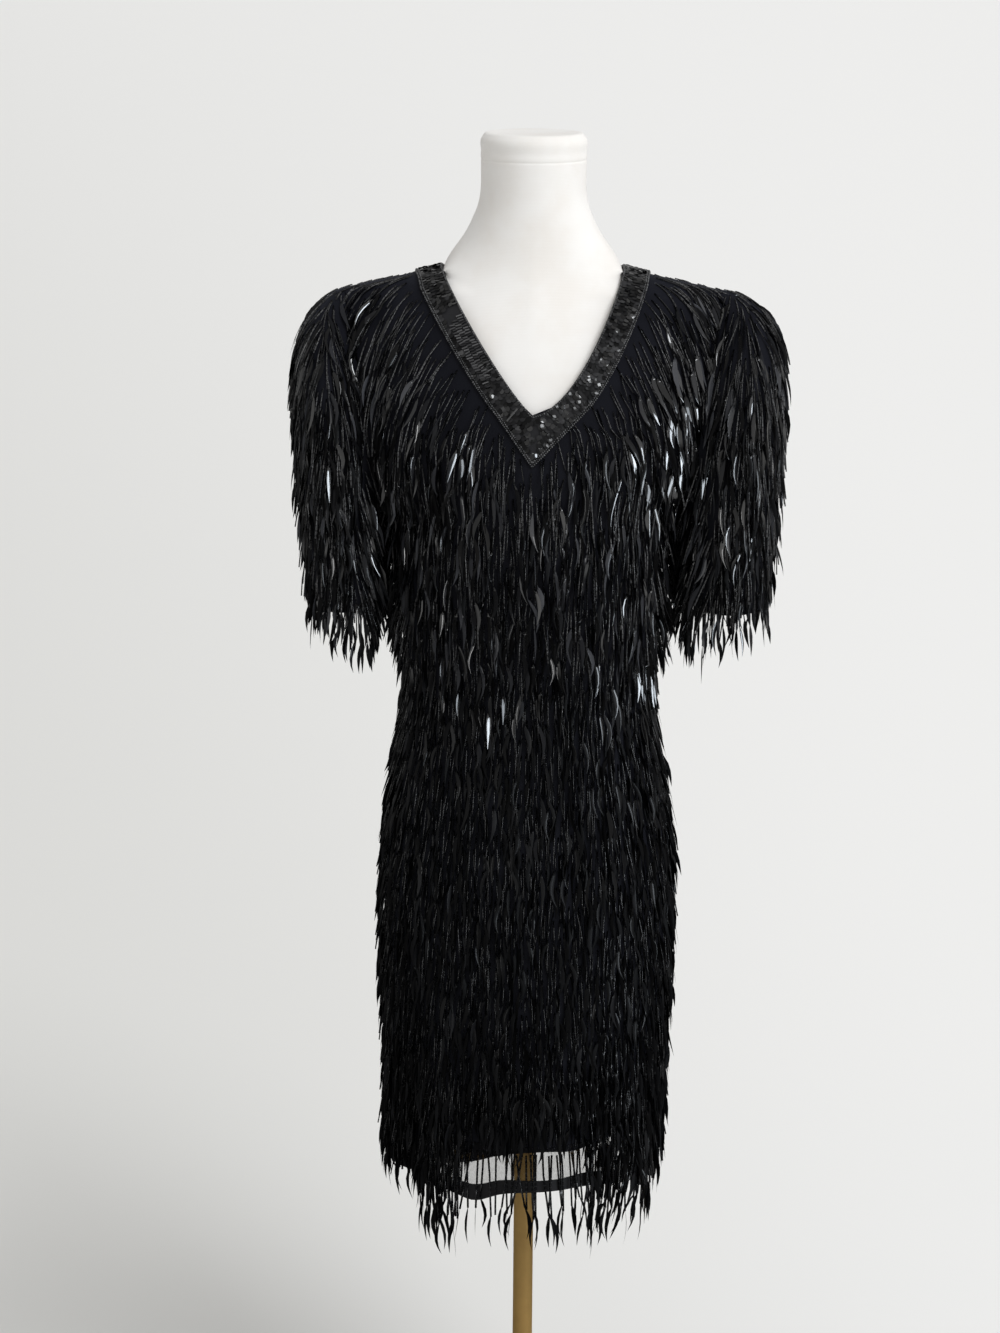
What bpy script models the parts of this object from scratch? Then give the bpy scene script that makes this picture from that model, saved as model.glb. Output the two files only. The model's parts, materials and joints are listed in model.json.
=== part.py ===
"""Knee-length fringe dress on a limbless dress form, at real size.

Metres, +Z up, the front faces -Y. The origin is on the floor, on the axis of the pole.
The cloth is a set of thin walls laid out on one body surface: a table of level sections
up to the underarm, and above it the same sections rolled back to a sloping shoulder line.
"""
import math
from collections import namedtuple

import bpy
import numpy as np

# Cloth and seams
WALL = 0.0016
SEAM = 0.0004
ON_CLOTH = 0.0004
SQUARENESS = 2.2

# Heights of the dress
HEM = 0.404
HEM_BAND = 0.015
LINING_EDGE = 0.447
LINING_TOP = 0.66
LINING_HANG = 0.0035
UNDERARM = 1.166
CHEST = 1.200

# Shoulders and neckline
SHOULDER_PEAK = 1.412
SHOULDER_FALL = 0.22
SHOULDER_ROLL = 2.4
SHOULDER_POINT = 0.195
SIDE = 0.150
NECK_POINT = 0.0935
V_BOTTOM = 1.256
V_CURVE = {"left": 0.85, "right": 0.55}
BACK_NECK = 1.372
NECK_BAND = 0.028
NECK_BAND_WALL = 0.0024

# Soft waves that grow towards the hem
WAVE_TOP = 0.66
WAVE_DEPTH = 0.007
WAVES = 8

# Counts of columns and rows in the cloth grids
HALF_COLUMNS = 9
ARM_ROWS = 11
RISE_ROWS = 4
BACK_RISE_ROWS = 8

# Fringe: locks of beaded strings that end in curved points
LOCK_WIDTH = 0.0065
LOCK_DEPTH = 0.0022
LOCK_LENGTH = 0.085
TAPE_HEIGHT = 0.006
TAPE_WALL = 0.0016
TAPE_OFF = 0.0012
YOKE_TAPE_OFF = 0.0008
WAVY_TAPE_OFF = 0.0026
SLEEVE_TAPE_OFF = 0.0021
LOCK_STAND_OFF = 0.0125
LOCK_CURVE = 0.012
CUFF_STAND_OFF = 0.006
HEM_SIDE_SHARE = 0.68

# Form and stand
FORM_CLEARANCE = 0.0035
FORM_WAIST_CLEARANCE = 0.007
NECK_COLUMN = 0.056
FORM_BOTTOM = 0.690
FORM_EDGE = 0.012
NECK_TOP = 1.526
POLE_RADIUS = 0.011
POLE_SOCKET = 0.060
BASE_RADIUS = 0.160
BASE_SOCKET_FLOOR = 0.020
GAP = 0.0004

Section = namedtuple("Section", "height half_width front back form_half_width")
BODY = [
    Section(0.400, 0.141, 0.119, 0.113, 0.130),
    Section(0.500, 0.147, 0.122, 0.119, 0.135),
    Section(0.600, 0.153, 0.123, 0.126, 0.143),
    Section(0.720, 0.155, 0.119, 0.130, 0.147),
    Section(0.800, 0.150, 0.112, 0.120, 0.144),
    Section(0.880, 0.138, 0.105, 0.103, 0.132),
    Section(0.945, 0.129, 0.101, 0.096, 0.122),
    Section(1.020, 0.135, 0.112, 0.100, 0.128),
    Section(1.100, 0.142, 0.126, 0.105, 0.135),
    Section(1.166, 0.150, 0.128, 0.108, 0.141),
    Section(1.186, 0.168, 0.127, 0.108, 0.145),
    Section(1.207, 0.190, 0.125, 0.108, 0.149),
    Section(1.250, 0.210, 0.120, 0.107, 0.157),
    Section(1.300, 0.215, 0.114, 0.105, 0.166),
    Section(1.400, 0.215, 0.106, 0.103, 0.172),
]

Ring = namedtuple("Ring", "top_x top_z low_x low_z front back")
SLEEVE = [
    Ring(0.2070, 1.3670, 0.1570, 1.1560, 0.082, 0.078),
    Ring(0.2220, 1.3590, 0.1620, 1.1380, 0.090, 0.086),
    Ring(0.2380, 1.3420, 0.1640, 1.1160, 0.094, 0.090),
    Ring(0.2490, 1.3120, 0.1650, 1.0960, 0.094, 0.090),
    Ring(0.2530, 1.2550, 0.1660, 1.0760, 0.092, 0.088),
    Ring(0.2520, 1.1900, 0.1665, 1.0620, 0.090, 0.086),
    Ring(0.2490, 1.1200, 0.1670, 1.0500, 0.088, 0.085),
    Ring(0.2450, 1.0410, 0.1675, 1.0410, 0.086, 0.083),
]
SLEEVE_REACH = {"left": -0.003, "right": 0.009}
SLEEVE_SLOPE = {"left": -0.007, "right": 0.0}
SLEEVE_TAPER = {"left": -0.012, "right": -0.004}

NeckRing = namedtuple("NeckRing", "height half_width front back")
NECK = [
    NeckRing(1.3900, 0.0820, 0.0560, 0.0600),
    NeckRing(1.4000, 0.0760, 0.0555, 0.0590),
    NeckRing(1.4190, 0.0680, 0.0550, 0.0580),
    NeckRing(1.4440, 0.0590, 0.0545, 0.0565),
    NeckRing(1.4710, 0.0545, 0.0540, 0.0550),
    NeckRing(1.5020, 0.0545, 0.0540, 0.0550),
    NeckRing(1.5190, 0.0530, 0.0525, 0.0535),
    NeckRing(NECK_TOP, 0.0460, 0.0455, 0.0465),
]

BaseRing = namedtuple("BaseRing", "radius height")
BASE = [
    BaseRing(BASE_RADIUS, 0.0000),
    BaseRing(BASE_RADIUS, 0.0080),
    BaseRing(0.1560, 0.0120),
    BaseRing(0.1100, 0.0170),
    BaseRing(0.0500, 0.0260),
    BaseRing(0.0260, 0.0420),
    BaseRing(0.0200, 0.0700),
    BaseRing(0.0200, 0.0900),
]

# Each tape goes round between two angles; 0 is the front, 180 the back, + towards +X
Tape = namedtuple("Tape", "name height start end locks drop")
TAPES = [
    Tape("fringe_chest_front", 1.140, -62.0, 62.0, 11, LOCK_LENGTH),
    Tape("fringe_chest_back", 1.140, 118.0, 242.0, 11, LOCK_LENGTH),
    Tape("fringe_ribs", 1.030, 0.0, 360.0, 20, LOCK_LENGTH),
    Tape("fringe_waist", 0.930, 0.0, 360.0, 20, LOCK_LENGTH),
    Tape("fringe_hips", 0.820, 0.0, 360.0, 20, LOCK_LENGTH),
    Tape("fringe_seat", 0.700, 0.0, 360.0, 20, LOCK_LENGTH),
    Tape("fringe_thigh", 0.575, 0.0, 360.0, 20, LOCK_LENGTH),
    Tape("fringe_hem", 0.452, 0.0, 360.0, 26, 0.112),
]

# A yoke tape runs across above the chest, from one distance off the centre to another
Yoke = namedtuple("Yoke", "name height start end locks side")
YOKES = [
    Yoke("fringe_yoke_left", 1.300, -0.150, -0.092, 4, "front"),
    Yoke("fringe_yoke_right", 1.300, 0.092, 0.150, 4, "front"),
    Yoke("fringe_yoke_back", 1.300, -0.140, 0.140, 10, "back"),
]

# A sleeve tape goes round one ring of the sleeve, counted from the armhole
SleeveTape = namedtuple("SleeveTape", "name ring locks rings_down drop")
SLEEVE_TAPES = [
    SleeveTape("fringe_sleeve_upper", 4.0, 10, 0.8, 0.0),
    SleeveTape("fringe_sleeve_cuff", 7.6, 14, 0.4, 0.054),
]

Finish = namedtuple("Finish", "name colour roughness metallic")
GEORGETTE = Finish("georgette", (0.008, 0.009, 0.013, 1.0), 0.85, 0.0)
BEADS = Finish("beads", (0.006, 0.006, 0.008, 1.0), 0.25, 0.0)
SEQUINS = Finish("sequins", (0.010, 0.010, 0.013, 1.0), 0.20, 0.0)
LINING_CLOTH = Finish("lining_cloth", (0.005, 0.005, 0.007, 1.0), 0.60, 0.0)
FORM_COVER = Finish("form_cover", (0.88, 0.87, 0.83, 1.0), 0.75, 0.0)
BRASS = Finish("brass", (0.36, 0.24, 0.09, 1.0), 0.35, 1.0)


def clear_scene():
    """Remove whatever the file opened with."""
    for item in list(bpy.data.objects):
        bpy.data.objects.remove(item, do_unlink=True)


def material(finish):
    """Return the Principled material of one finish."""
    made = bpy.data.materials.get(finish.name) or bpy.data.materials.new(finish.name)
    made.use_nodes = True
    shader = made.node_tree.nodes["Principled BSDF"]
    shader.inputs["Base Color"].default_value = finish.colour
    shader.inputs["Roughness"].default_value = finish.roughness
    shader.inputs["Metallic"].default_value = finish.metallic
    made.diffuse_color = finish.colour
    return made


def add_object(name, points, faces, finish):
    """Make one named object from its points and faces."""
    mesh = bpy.data.meshes.new(name)
    mesh.from_pydata([tuple(point) for point in points], [], faces)
    mesh.update()
    mesh.shade_smooth()
    mesh.set_sharp_from_angle(angle=math.radians(40))
    made = bpy.data.objects.new(name, mesh)
    made.data.materials.append(material(finish))
    bpy.context.scene.collection.objects.link(made)
    return made


def read(table, column, height):
    """Read a column of a table at any height, along a smooth curve through its rows."""
    heights = np.array([row.height for row in table])
    values = np.array([getattr(row, column) for row in table])
    slopes = np.gradient(values, heights)
    at = np.clip(height, heights[0], heights[-1])
    row = np.clip(np.searchsorted(heights, at) - 1, 0, len(heights) - 2)
    step = heights[row + 1] - heights[row]
    t = (at - heights[row]) / step
    start = (2 * t**3 - 3 * t**2 + 1) * values[row] + (t**3 - 2 * t**2 + t) * step * slopes[row]
    end = (3 * t**2 - 2 * t**3) * values[row + 1] + (t**3 - t**2) * step * slopes[row + 1]
    return start + end


def shoulder_line(x):
    """Height of the shoulder seam at a distance from the centre."""
    return SHOULDER_PEAK - SHOULDER_FALL * np.abs(x)


def roll_back(x, z, inset):
    """Share of the chest depth that is left at a height, down to none on the shoulder line."""
    top = shoulder_line(x) - inset
    climb = np.clip((z - CHEST) / (top - CHEST), 0, 1)
    return (1 - climb**SHOULDER_ROLL) ** (1 / SHOULDER_ROLL)


def depth(x, z, side, inset=0.0, width="half_width"):
    """How far the body surface stands in front of, or behind, the middle plane."""
    across = np.clip(np.abs(x) / (read(BODY, width, z) - inset), 0, 1)
    bulge = (1 - across**SQUARENESS) ** (1 / SQUARENESS)
    return (read(BODY, side, z) - inset) * bulge * roll_back(x, z, inset)


def wave(angle, z):
    """Outward swing of the hem waves: none at the hips, uneven and full at the hem."""
    grown = np.clip((WAVE_TOP - z) / (WAVE_TOP - HEM), 0, 1) ** 1.4
    uneven = np.sin(WAVES * angle + 0.6) + 0.35 * np.sin((WAVES - 3) * angle + 2.0)
    return WAVE_DEPTH * grown * uneven


def body_point(angle, z, off=0.0):
    """Point of the body surface below the underarm, moved out level by `off`."""
    power = 2 / SQUARENESS
    across = np.sign(np.sin(angle)) * np.abs(np.sin(angle)) ** power
    ahead = np.sign(np.cos(angle)) * np.abs(np.cos(angle)) ** power
    width = read(BODY, "half_width", z)
    reach = np.where(ahead >= 0, read(BODY, "front", z), read(BODY, "back", z))
    out_x = across / width
    out_y = -ahead / reach
    length = np.hypot(out_x, out_y)
    swing = wave(angle, z) + off
    return np.stack([width * across + swing * out_x / length,
                     -reach * ahead + swing * out_y / length,
                     z + 0 * angle], axis=-1)


def panel_point(angle, z, off=0.0):
    """Point of the flat-faced skirt panels themselves, moved out level by `off`."""
    turns = np.linspace(-math.pi, math.pi, 4 * HALF_COLUMNS + 1)
    heights = skirt_heights()
    wrapped = np.mod(angle + math.pi, 2 * math.pi) - math.pi
    column = np.clip(np.searchsorted(turns, wrapped) - 1, 0, len(turns) - 2)
    row = np.clip(np.searchsorted(heights, z) - 1, 0, len(heights) - 2)
    across = ((wrapped - turns[column]) / (turns[column + 1] - turns[column]))[..., None]
    up = (z - heights[row]) / (heights[row + 1] - heights[row])
    low = body_point(turns[column], heights[row]) * (1 - across)
    low = low + body_point(turns[column + 1], heights[row]) * across
    high = body_point(turns[column], heights[row + 1]) * (1 - across)
    high = high + body_point(turns[column + 1], heights[row + 1]) * across
    out = level(body_point(angle, z, 0.01) - body_point(angle, z, 0.0))
    return low + (high - low) * up + off * out


def level(out):
    """Outward directions laid level and made unit long."""
    flat = out * (1, 1, 0)
    return flat / np.linalg.norm(flat, axis=-1, keepdims=True)


def grid_normals(points, flip):
    """Unit normals of a grid of points, from the differences along its rows and columns."""
    along = np.gradient(points, axis=1)
    up = np.gradient(points, axis=0)
    normals = np.cross(along, up) * (-1 if flip else 1)
    return normals / np.maximum(np.linalg.norm(normals, axis=-1, keepdims=True), 1e-12)


def wall_object(name, outer, inner, finish, closed, flip):
    """Join an outer and an inner grid into one closed wall."""
    rows, columns = outer.shape[:2]
    count = rows * columns
    points = np.concatenate([outer.reshape(-1, 3), inner.reshape(-1, 3)])
    around = columns if closed else columns - 1
    faces = []

    def at(row, column, layer):
        return layer * count + row * columns + column % columns

    for row in range(rows - 1):
        for column in range(around):
            quad = [at(row, column, 0), at(row, column + 1, 0),
                    at(row + 1, column + 1, 0), at(row + 1, column, 0)]
            faces.append(quad)
            faces.append([corner + count for corner in reversed(quad)])
    for column in range(around):
        faces.append([at(0, column, 1), at(0, column + 1, 1), at(0, column + 1, 0), at(0, column, 0)])
        faces.append([at(rows - 1, column, 0), at(rows - 1, column + 1, 0),
                      at(rows - 1, column + 1, 1), at(rows - 1, column, 1)])
    if not closed:
        for row in range(rows - 1):
            faces.append([at(row, 0, 0), at(row + 1, 0, 0), at(row + 1, 0, 1), at(row, 0, 1)])
            last = columns - 1
            faces.append([at(row, last, 1), at(row + 1, last, 1), at(row + 1, last, 0), at(row, last, 0)])
    if flip:
        faces = [list(reversed(face)) for face in faces]
    return add_object(name, points, faces, finish)


def loft_object(name, loops, finish):
    """Close a stack of equal loops with a flat face at each end."""
    points = np.concatenate(loops)
    sides = len(loops[0])
    faces = [list(reversed(range(sides)))]
    for level in range(len(loops) - 1):
        for side in range(sides):
            after = (side + 1) % sides
            faces.append([level * sides + side, level * sides + after,
                          (level + 1) * sides + after, (level + 1) * sides + side])
    faces.append([(len(loops) - 1) * sides + side for side in range(sides)])
    return add_object(name, points, faces, finish)


def circle(radius, z, sides):
    """Level loop of points, anticlockwise from above."""
    turn = np.linspace(0, 2 * math.pi, sides, endpoint=False)
    return np.stack([radius * np.cos(turn), radius * np.sin(turn), np.full(sides, z)], axis=-1)


def arm_rows():
    """Shares of the armhole's height at the rows above the underarm, close at its ends."""
    turn = np.linspace(math.pi, 0, ARM_ROWS + 1)
    return (1 + np.cos(turn)) / 2


def armhole(share):
    """Place on the armhole's slanted plane, from the underarm at 0 to the shoulder at 1."""
    x = SIDE + (SHOULDER_POINT - SIDE) * share
    z = UNDERARM + (shoulder_line(SHOULDER_POINT) - UNDERARM) * share
    return x, z


def eased(count):
    """Even steps from 0 to 1 that close up towards 1, where the shoulder rolls over."""
    return 1 - (1 - np.linspace(0, 1, count)) ** 1.6


def front_edge(side):
    """Inner edge of a front half above the underarm: up the centre, then along the V."""
    up = np.linspace(0, 1, RISE_ROWS + 1)
    climb = eased(ARM_ROWS - RISE_ROWS + 1)[1:]
    top = shoulder_line(NECK_POINT)
    x = np.concatenate([0 * up, NECK_POINT * climb ** V_CURVE[side]])
    z = np.concatenate([UNDERARM + (V_BOTTOM - UNDERARM) * up, V_BOTTOM + (top - V_BOTTOM) * climb])
    return x, z


def back_edge():
    """Inner edge of a back half: up the centre seam, then round the back of the neck."""
    up = eased(BACK_RISE_ROWS + 1)
    round_neck = np.linspace(0, math.pi / 2, ARM_ROWS - BACK_RISE_ROWS + 1)[1:]
    top = shoulder_line(NECK_POINT)
    x = np.concatenate([0 * up, NECK_POINT * np.sin(round_neck)])
    z = np.concatenate([UNDERARM + (BACK_NECK - UNDERARM) * up,
                        top - (top - BACK_NECK) * np.cos(round_neck)])
    return x, z


def skirt_heights():
    """Heights of the rows from the hem band to the underarm."""
    low = np.array([0.0, 0.035, 0.08, 0.14])
    high = np.linspace(0.22, 1, 9)
    start = HEM + HEM_BAND + SEAM
    span = UNDERARM - start
    return start + span * np.concatenate([low, high])


def half_panel(side, face):
    """Grid of the outer points of half a front or back, from the centre out to the side."""
    sign = 1 if side == "right" else -1
    ahead = -1 if face == "front" else 1
    turn = np.linspace(0, math.pi / 2, HALF_COLUMNS + 1)
    angles = sign * turn if face == "front" else sign * (math.pi - turn)
    skirt = [body_point(angles, height) for height in skirt_heights()[:-1]]
    edge_x, edge_z = front_edge(side) if face == "front" else back_edge()
    spread = np.sin(turn) ** (2 / SQUARENESS)
    upper = []
    for share, low_x, low_z in zip(arm_rows(), edge_x, edge_z):
        high_x, high_z = armhole(share)
        even = np.linspace(0, 1, HALF_COLUMNS + 1)
        mix = spread + (even - spread) * min(1.0, share * 2.5)
        x = low_x + (high_x - low_x) * mix
        z = low_z + (high_z - low_z) * mix
        upper.append(np.stack([sign * x, ahead * depth(x, z, face), z], axis=-1))
    grid = np.stack(skirt + upper)
    grid[:len(skirt_heights()), -1, 1] = 0
    grid[-1, :, 1] = 0
    grid[:, :, 1] += ahead * SEAM / 2
    return grid


def wall_directions(grid, flip):
    """Directions of a panel's thickness, kept in the seam planes along the seams."""
    normals = grid_normals(grid, flip)
    skirt = len(skirt_heights())
    normals[:skirt, -1, 1:] = 0
    normals[-1, :, :2] = 0
    normals[0, :, 2] = 0
    return normals / np.linalg.norm(normals, axis=-1, keepdims=True)


def front_panel():
    """Front in one piece: two mirrored halves that share the centre below the V."""
    halves = {}
    for side in ("left", "right"):
        grid = half_panel(side, "front")
        directions = wall_directions(grid, flip=side == "left")
        centre = len(skirt_heights()) + RISE_ROWS
        directions[:centre, 0, 0] = 0
        directions /= np.linalg.norm(directions, axis=-1, keepdims=True)
        halves[side] = (grid, grid - WALL * directions)
    rows, columns = halves["left"][0].shape[:2]
    shared = len(skirt_heights()) + RISE_ROWS
    points = []
    index = {}

    def at(side, row, column, layer):
        key = ("right" if column == 0 and row < shared else side, row, column, layer)
        if key not in index:
            index[key] = len(points)
            points.append(halves[key[0]][layer][row, column])
        return index[key]

    faces = []
    for side in ("left", "right"):
        panel = []
        for row in range(rows - 1):
            for column in range(columns - 1):
                corners = [(row, column), (row, column + 1), (row + 1, column + 1), (row + 1, column)]
                panel.append([at(side, *corner, 0) for corner in corners])
                panel.append([at(side, *corner, 1) for corner in reversed(corners)])
        for column in range(columns - 1):
            for row, order in ((0, (1, 0)), (rows - 1, (0, 1))):
                panel.append([at(side, row, column, order[0]), at(side, row, column + 1, order[0]),
                              at(side, row, column + 1, order[1]), at(side, row, column, order[1])])
        for row in range(rows - 1):
            last = columns - 1
            panel.append([at(side, row, last, 1), at(side, row + 1, last, 1),
                          at(side, row + 1, last, 0), at(side, row, last, 0)])
            if row + 1 >= shared:
                panel.append([at(side, row, 0, 0), at(side, row + 1, 0, 0),
                              at(side, row + 1, 0, 1), at(side, row, 0, 1)])
        faces += panel if side == "right" else [list(reversed(face)) for face in panel]
    add_object("front_panel", points, faces, GEORGETTE)


def back_panels():
    """Two mirrored backs with a straight seam down the centre."""
    for side in ("left", "right"):
        grid = half_panel(side, "back")
        flip = side == "right"
        directions = wall_directions(grid, flip)
        centre = len(skirt_heights()) + BACK_RISE_ROWS
        directions[:centre, 0, 0] = 0
        directions /= np.linalg.norm(directions, axis=-1, keepdims=True)
        sign = 1 if side == "right" else -1
        grid[:centre, 0, 0] = sign * SEAM / 2
        wall_object("back_panel_" + side, grid, grid - WALL * directions, GEORGETTE, False, flip)


def sleeve_rings(side):
    """Rings of a sleeve: the armhole's own loop first, then ovals that turn down to the cuff."""
    sign = 1 if side == "right" else -1
    half = math.pi * np.arange(ARM_ROWS + 1) / ARM_ROWS
    share = (1 + np.cos(half)) / 2
    x, z = armhole(share)
    front = depth(x, z, "front")
    back = depth(x, z, "back")
    front[[0, -1]] = 0
    back[[0, -1]] = 0
    whole = np.concatenate([share, share[-2:0:-1]])
    loop_x, loop_z = armhole(whole)
    loop_y = np.concatenate([-front, back[-2:0:-1]])
    rings = [np.stack([sign * (loop_x + SEAM + 0.0003), loop_y, loop_z], axis=-1)]
    turn = np.concatenate([half, 2 * math.pi - half[-2:0:-1]])
    for number, row in enumerate(SLEEVE):
        reach = SLEEVE_REACH[side] * min(1.0, (number + 1) / 4)
        reach += SLEEVE_TAPER[side] * (number / (len(SLEEVE) - 1)) ** 1.5
        top_x = row.top_x + reach
        top_z = row.top_z + SLEEVE_SLOPE[side] * min(1.0, (number + 1) / 3)
        if number == len(SLEEVE) - 1:
            top_z = row.low_z
        middle_x = (top_x + row.low_x) / 2
        middle_z = (top_z + row.low_z) / 2
        wide = np.where(np.sin(turn) >= 0, row.front, row.back)
        oval = -wide * np.sign(np.sin(turn)) * np.abs(np.sin(turn)) ** 0.85
        keep = max(0.0, 1 - (number + 1) / 2.5)
        y = oval + (loop_y - oval) * keep
        rings.append(np.stack([sign * (middle_x + (top_x - middle_x) * np.cos(turn)), y,
                               middle_z + (top_z - middle_z) * np.cos(turn)], axis=-1))
    return np.stack(rings)


def closed_normals(rings, flip):
    """Normals of a stack of closed rings."""
    along = (np.roll(rings, -1, axis=1) - np.roll(rings, 1, axis=1)) / 2
    down = np.gradient(rings, axis=0)
    normals = np.cross(along, down) * (-1 if flip else 1)
    return normals / np.maximum(np.linalg.norm(normals, axis=-1, keepdims=True), 1e-12)


def sleeves():
    """Two short wide sleeves, each one tube from its armhole to its cuff."""
    for side in ("left", "right"):
        rings = sleeve_rings(side)
        flip = side == "left"
        normals = closed_normals(rings, flip)
        sign = 1 if side == "right" else -1
        normals[0, :, 0] = sign * np.minimum(sign * normals[0, :, 0], 0)
        normals[0] /= np.linalg.norm(normals[0], axis=-1, keepdims=True)
        wall_object("sleeve_" + side, rings, rings - WALL * normals, GEORGETTE, True, flip)


def band_grid(x, z, out_x, out_z, face, levels):
    """Strip of points on the body surface, from an edge outwards."""
    ahead = -1 if face == "front" else 1
    share = np.linspace(0, 1, levels)[:, None]
    across = x + (out_x - x) * share
    up = z + (out_z - z) * share
    return np.stack([across, ahead * depth(across, up, face), up], axis=-1)


def neck_bands():
    """Sequin band on the dress round the neck, moved out from the surface below it."""
    steps = eased(17)
    top = shoulder_line(NECK_POINT)
    for side in ("left", "right"):
        sign = 1 if side == "right" else -1
        x = NECK_POINT * steps ** V_CURVE[side]
        z = V_BOTTOM + (top - V_BOTTOM) * steps
        tangent_x = np.gradient(x)
        tangent_z = np.gradient(z)
        length = np.hypot(tangent_x, tangent_z)
        out_x = x + NECK_BAND * tangent_z / length
        out_z = z - NECK_BAND * tangent_x / length
        out_x[0] = 0
        out_z[0] = V_BOTTOM - NECK_BAND * 1.9
        out_x[-1] = NECK_POINT + NECK_BAND
        out_z[-1] = shoulder_line(out_x[-1])
        out_x[-2] = (out_x[-3] + out_x[-1]) / 2
        out_z[-2] = out_z[-1] - 0.25 * (out_z[-1] - out_z[-3])
        grid = band_grid(x, z, out_x, out_z, "front", 5)
        grid[:, 0, 0] = SEAM / 2
        place_band("neck_band_" + side, grid * (sign, 1, 1), "front", side == "left")
    turn = np.linspace(-math.pi / 2, math.pi / 2, 17)
    x = NECK_POINT * np.sin(turn)
    z = top - (top - BACK_NECK) * np.cos(turn)
    out_x = (NECK_POINT + NECK_BAND) * np.sin(turn)
    out_top = shoulder_line(NECK_POINT + NECK_BAND)
    out_z = out_top - (out_top - BACK_NECK + NECK_BAND) * np.cos(turn)
    place_band("neck_band_back", band_grid(x, z, out_x, out_z, "back", 5), "back", True)


def place_band(name, grid, face, flip):
    """Give a strip that lies on the cloth its gap and thickness."""
    ahead = -1 if face == "front" else 1
    normals = grid_normals(grid, flip)
    if np.mean(normals[..., 1]) * ahead < 0:
        normals = -normals
    shoulders = (0, -1) if name == "neck_band_back" else (-1,)
    for column in shoulders:
        normals[:, column] = (0, 0, 1)
        grid[:, column, 1] = 0
    if name != "neck_band_back":
        normals[:, 0, 0] = 0
    normals /= np.linalg.norm(normals, axis=-1, keepdims=True)
    grid[:, :, 1] += ahead * SEAM / 2
    under = grid + 4 * ON_CLOTH * normals
    over = under + NECK_BAND_WALL * normals
    wall_object(name, over, under, SEQUINS, False, not flip)


def ring_wall(name, heights, off, thickness, finish):
    """Level ring of cloth on the body surface, its outer face moved out by `off`."""
    angles = np.linspace(0, 2 * math.pi, 4 * HALF_COLUMNS, endpoint=False)
    offs = np.broadcast_to(off, len(heights))
    outer = np.stack([body_point(angles, *row) for row in zip(heights, offs)])
    inner = np.stack([body_point(angles, height, at - thickness) for height, at in zip(heights, offs)])
    wall_object(name, outer, inner, finish, True, False)


def lower_edges():
    """Hem band under the outer cloth, and the lining that ends above it."""
    ring_wall("hem_band", [HEM, HEM + HEM_BAND], 0.0, 2 * WALL, GEORGETTE)
    rows = skirt_heights()
    heights = [LINING_EDGE, *rows[(rows > LINING_EDGE) & (rows <= LINING_TOP)]]
    hang = np.linspace(LINING_HANG, 2 * ON_CLOTH, len(heights))
    ring_wall("lining", heights, -WALL - hang, WALL, LINING_CLOTH)


def fringe_mesh(name, top, bottom, out, tips, closed):
    """Tape with locks: each lock grows from a face of the tape's lower edge to a curved point.

    `top` and `bottom` are the tape's edge points on its inner side, `out` their outward
    directions, and `tips` holds a waist point and an end point for every second cell.
    """
    columns = len(top)
    points = list(top) + list(top + TAPE_WALL * out) + list(bottom + TAPE_WALL * out) + list(bottom)
    faces = []
    around = columns if closed else columns - 1
    for column in range(around):
        after = (column + 1) % columns
        rows = [[layer * columns + spot for layer in range(4)] for spot in (column, after)]
        for layer in range(4):
            following = (layer + 1) % 4
            if layer == 2 and column % 2 == 0:
                continue
            faces.append([rows[0][layer], rows[0][following], rows[1][following], rows[1][layer]])
        if column % 2:
            continue
        root = [rows[0][2], rows[1][2], rows[1][3], rows[0][3]]
        waist, side_way, end, outward = tips[column // 2]
        first = len(points)
        for across, away in ((-1, 1), (1, 1), (1, -1), (-1, -1)):
            points.append(waist + across * side_way * LOCK_WIDTH / 2 + away * outward * LOCK_DEPTH / 2)
        points.append(end)
        for corner in range(4):
            following = (corner + 1) % 4
            faces.append([root[corner], first + corner, first + following, root[following]])
            faces.append([first + corner, first + 4, first + following])
    if not closed:
        faces.append([layer * columns for layer in reversed(range(4))])
        faces.append([layer * columns + columns - 1 for layer in range(4)])
    add_object(name, points, faces, BEADS)


def tape_columns(start, end, locks, closed):
    """Places of the tape's cell edges: a lock's width, then the gap to the next."""
    cells = 2 * locks if closed else 2 * locks - 1
    return start + (end - start) * np.arange(cells if closed else cells + 1) / cells


def body_tapes():
    """Tapes that go round the body below the underarm."""
    for tape in TAPES:
        closed = tape.end - tape.start == 360.0
        off = WAVY_TAPE_OFF if tape.height < WAVE_TOP else TAPE_OFF
        places = tape_columns(tape.start, tape.end, tape.locks, closed)
        angles = np.radians(places)
        low = panel_point(angles, tape.height, off)
        high = panel_point(angles, tape.height + TAPE_HEIGHT, off)
        out = level(panel_point(angles, tape.height, 0.01) - panel_point(angles, tape.height))
        tips = []
        half_step = (angles[1] - angles[0]) / 2
        for lock in range(tape.locks):
            middle = angles[2 * lock] + half_step
            curve = LOCK_CURVE if lock % 3 else -LOCK_CURVE
            drop = tape.drop
            if tape.name == "fringe_hem":
                drop *= HEM_SIDE_SHARE + (1 - HEM_SIDE_SHARE) * abs(math.cos(middle)) ** 0.6
            waist_height = tape.height - 0.55 * drop
            end_height = tape.height - drop
            waist = body_point(middle, waist_height, 0.6 * LOCK_STAND_OFF)
            end = body_point(middle, end_height, LOCK_STAND_OFF)
            outward = level(end - body_point(middle, end_height, 0.0))
            side_way = np.array([-outward[1], outward[0], 0])
            tips.append((waist, side_way, end + curve * side_way, outward))
        fringe_mesh(tape.name, high, low, out, tips, closed)


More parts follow.
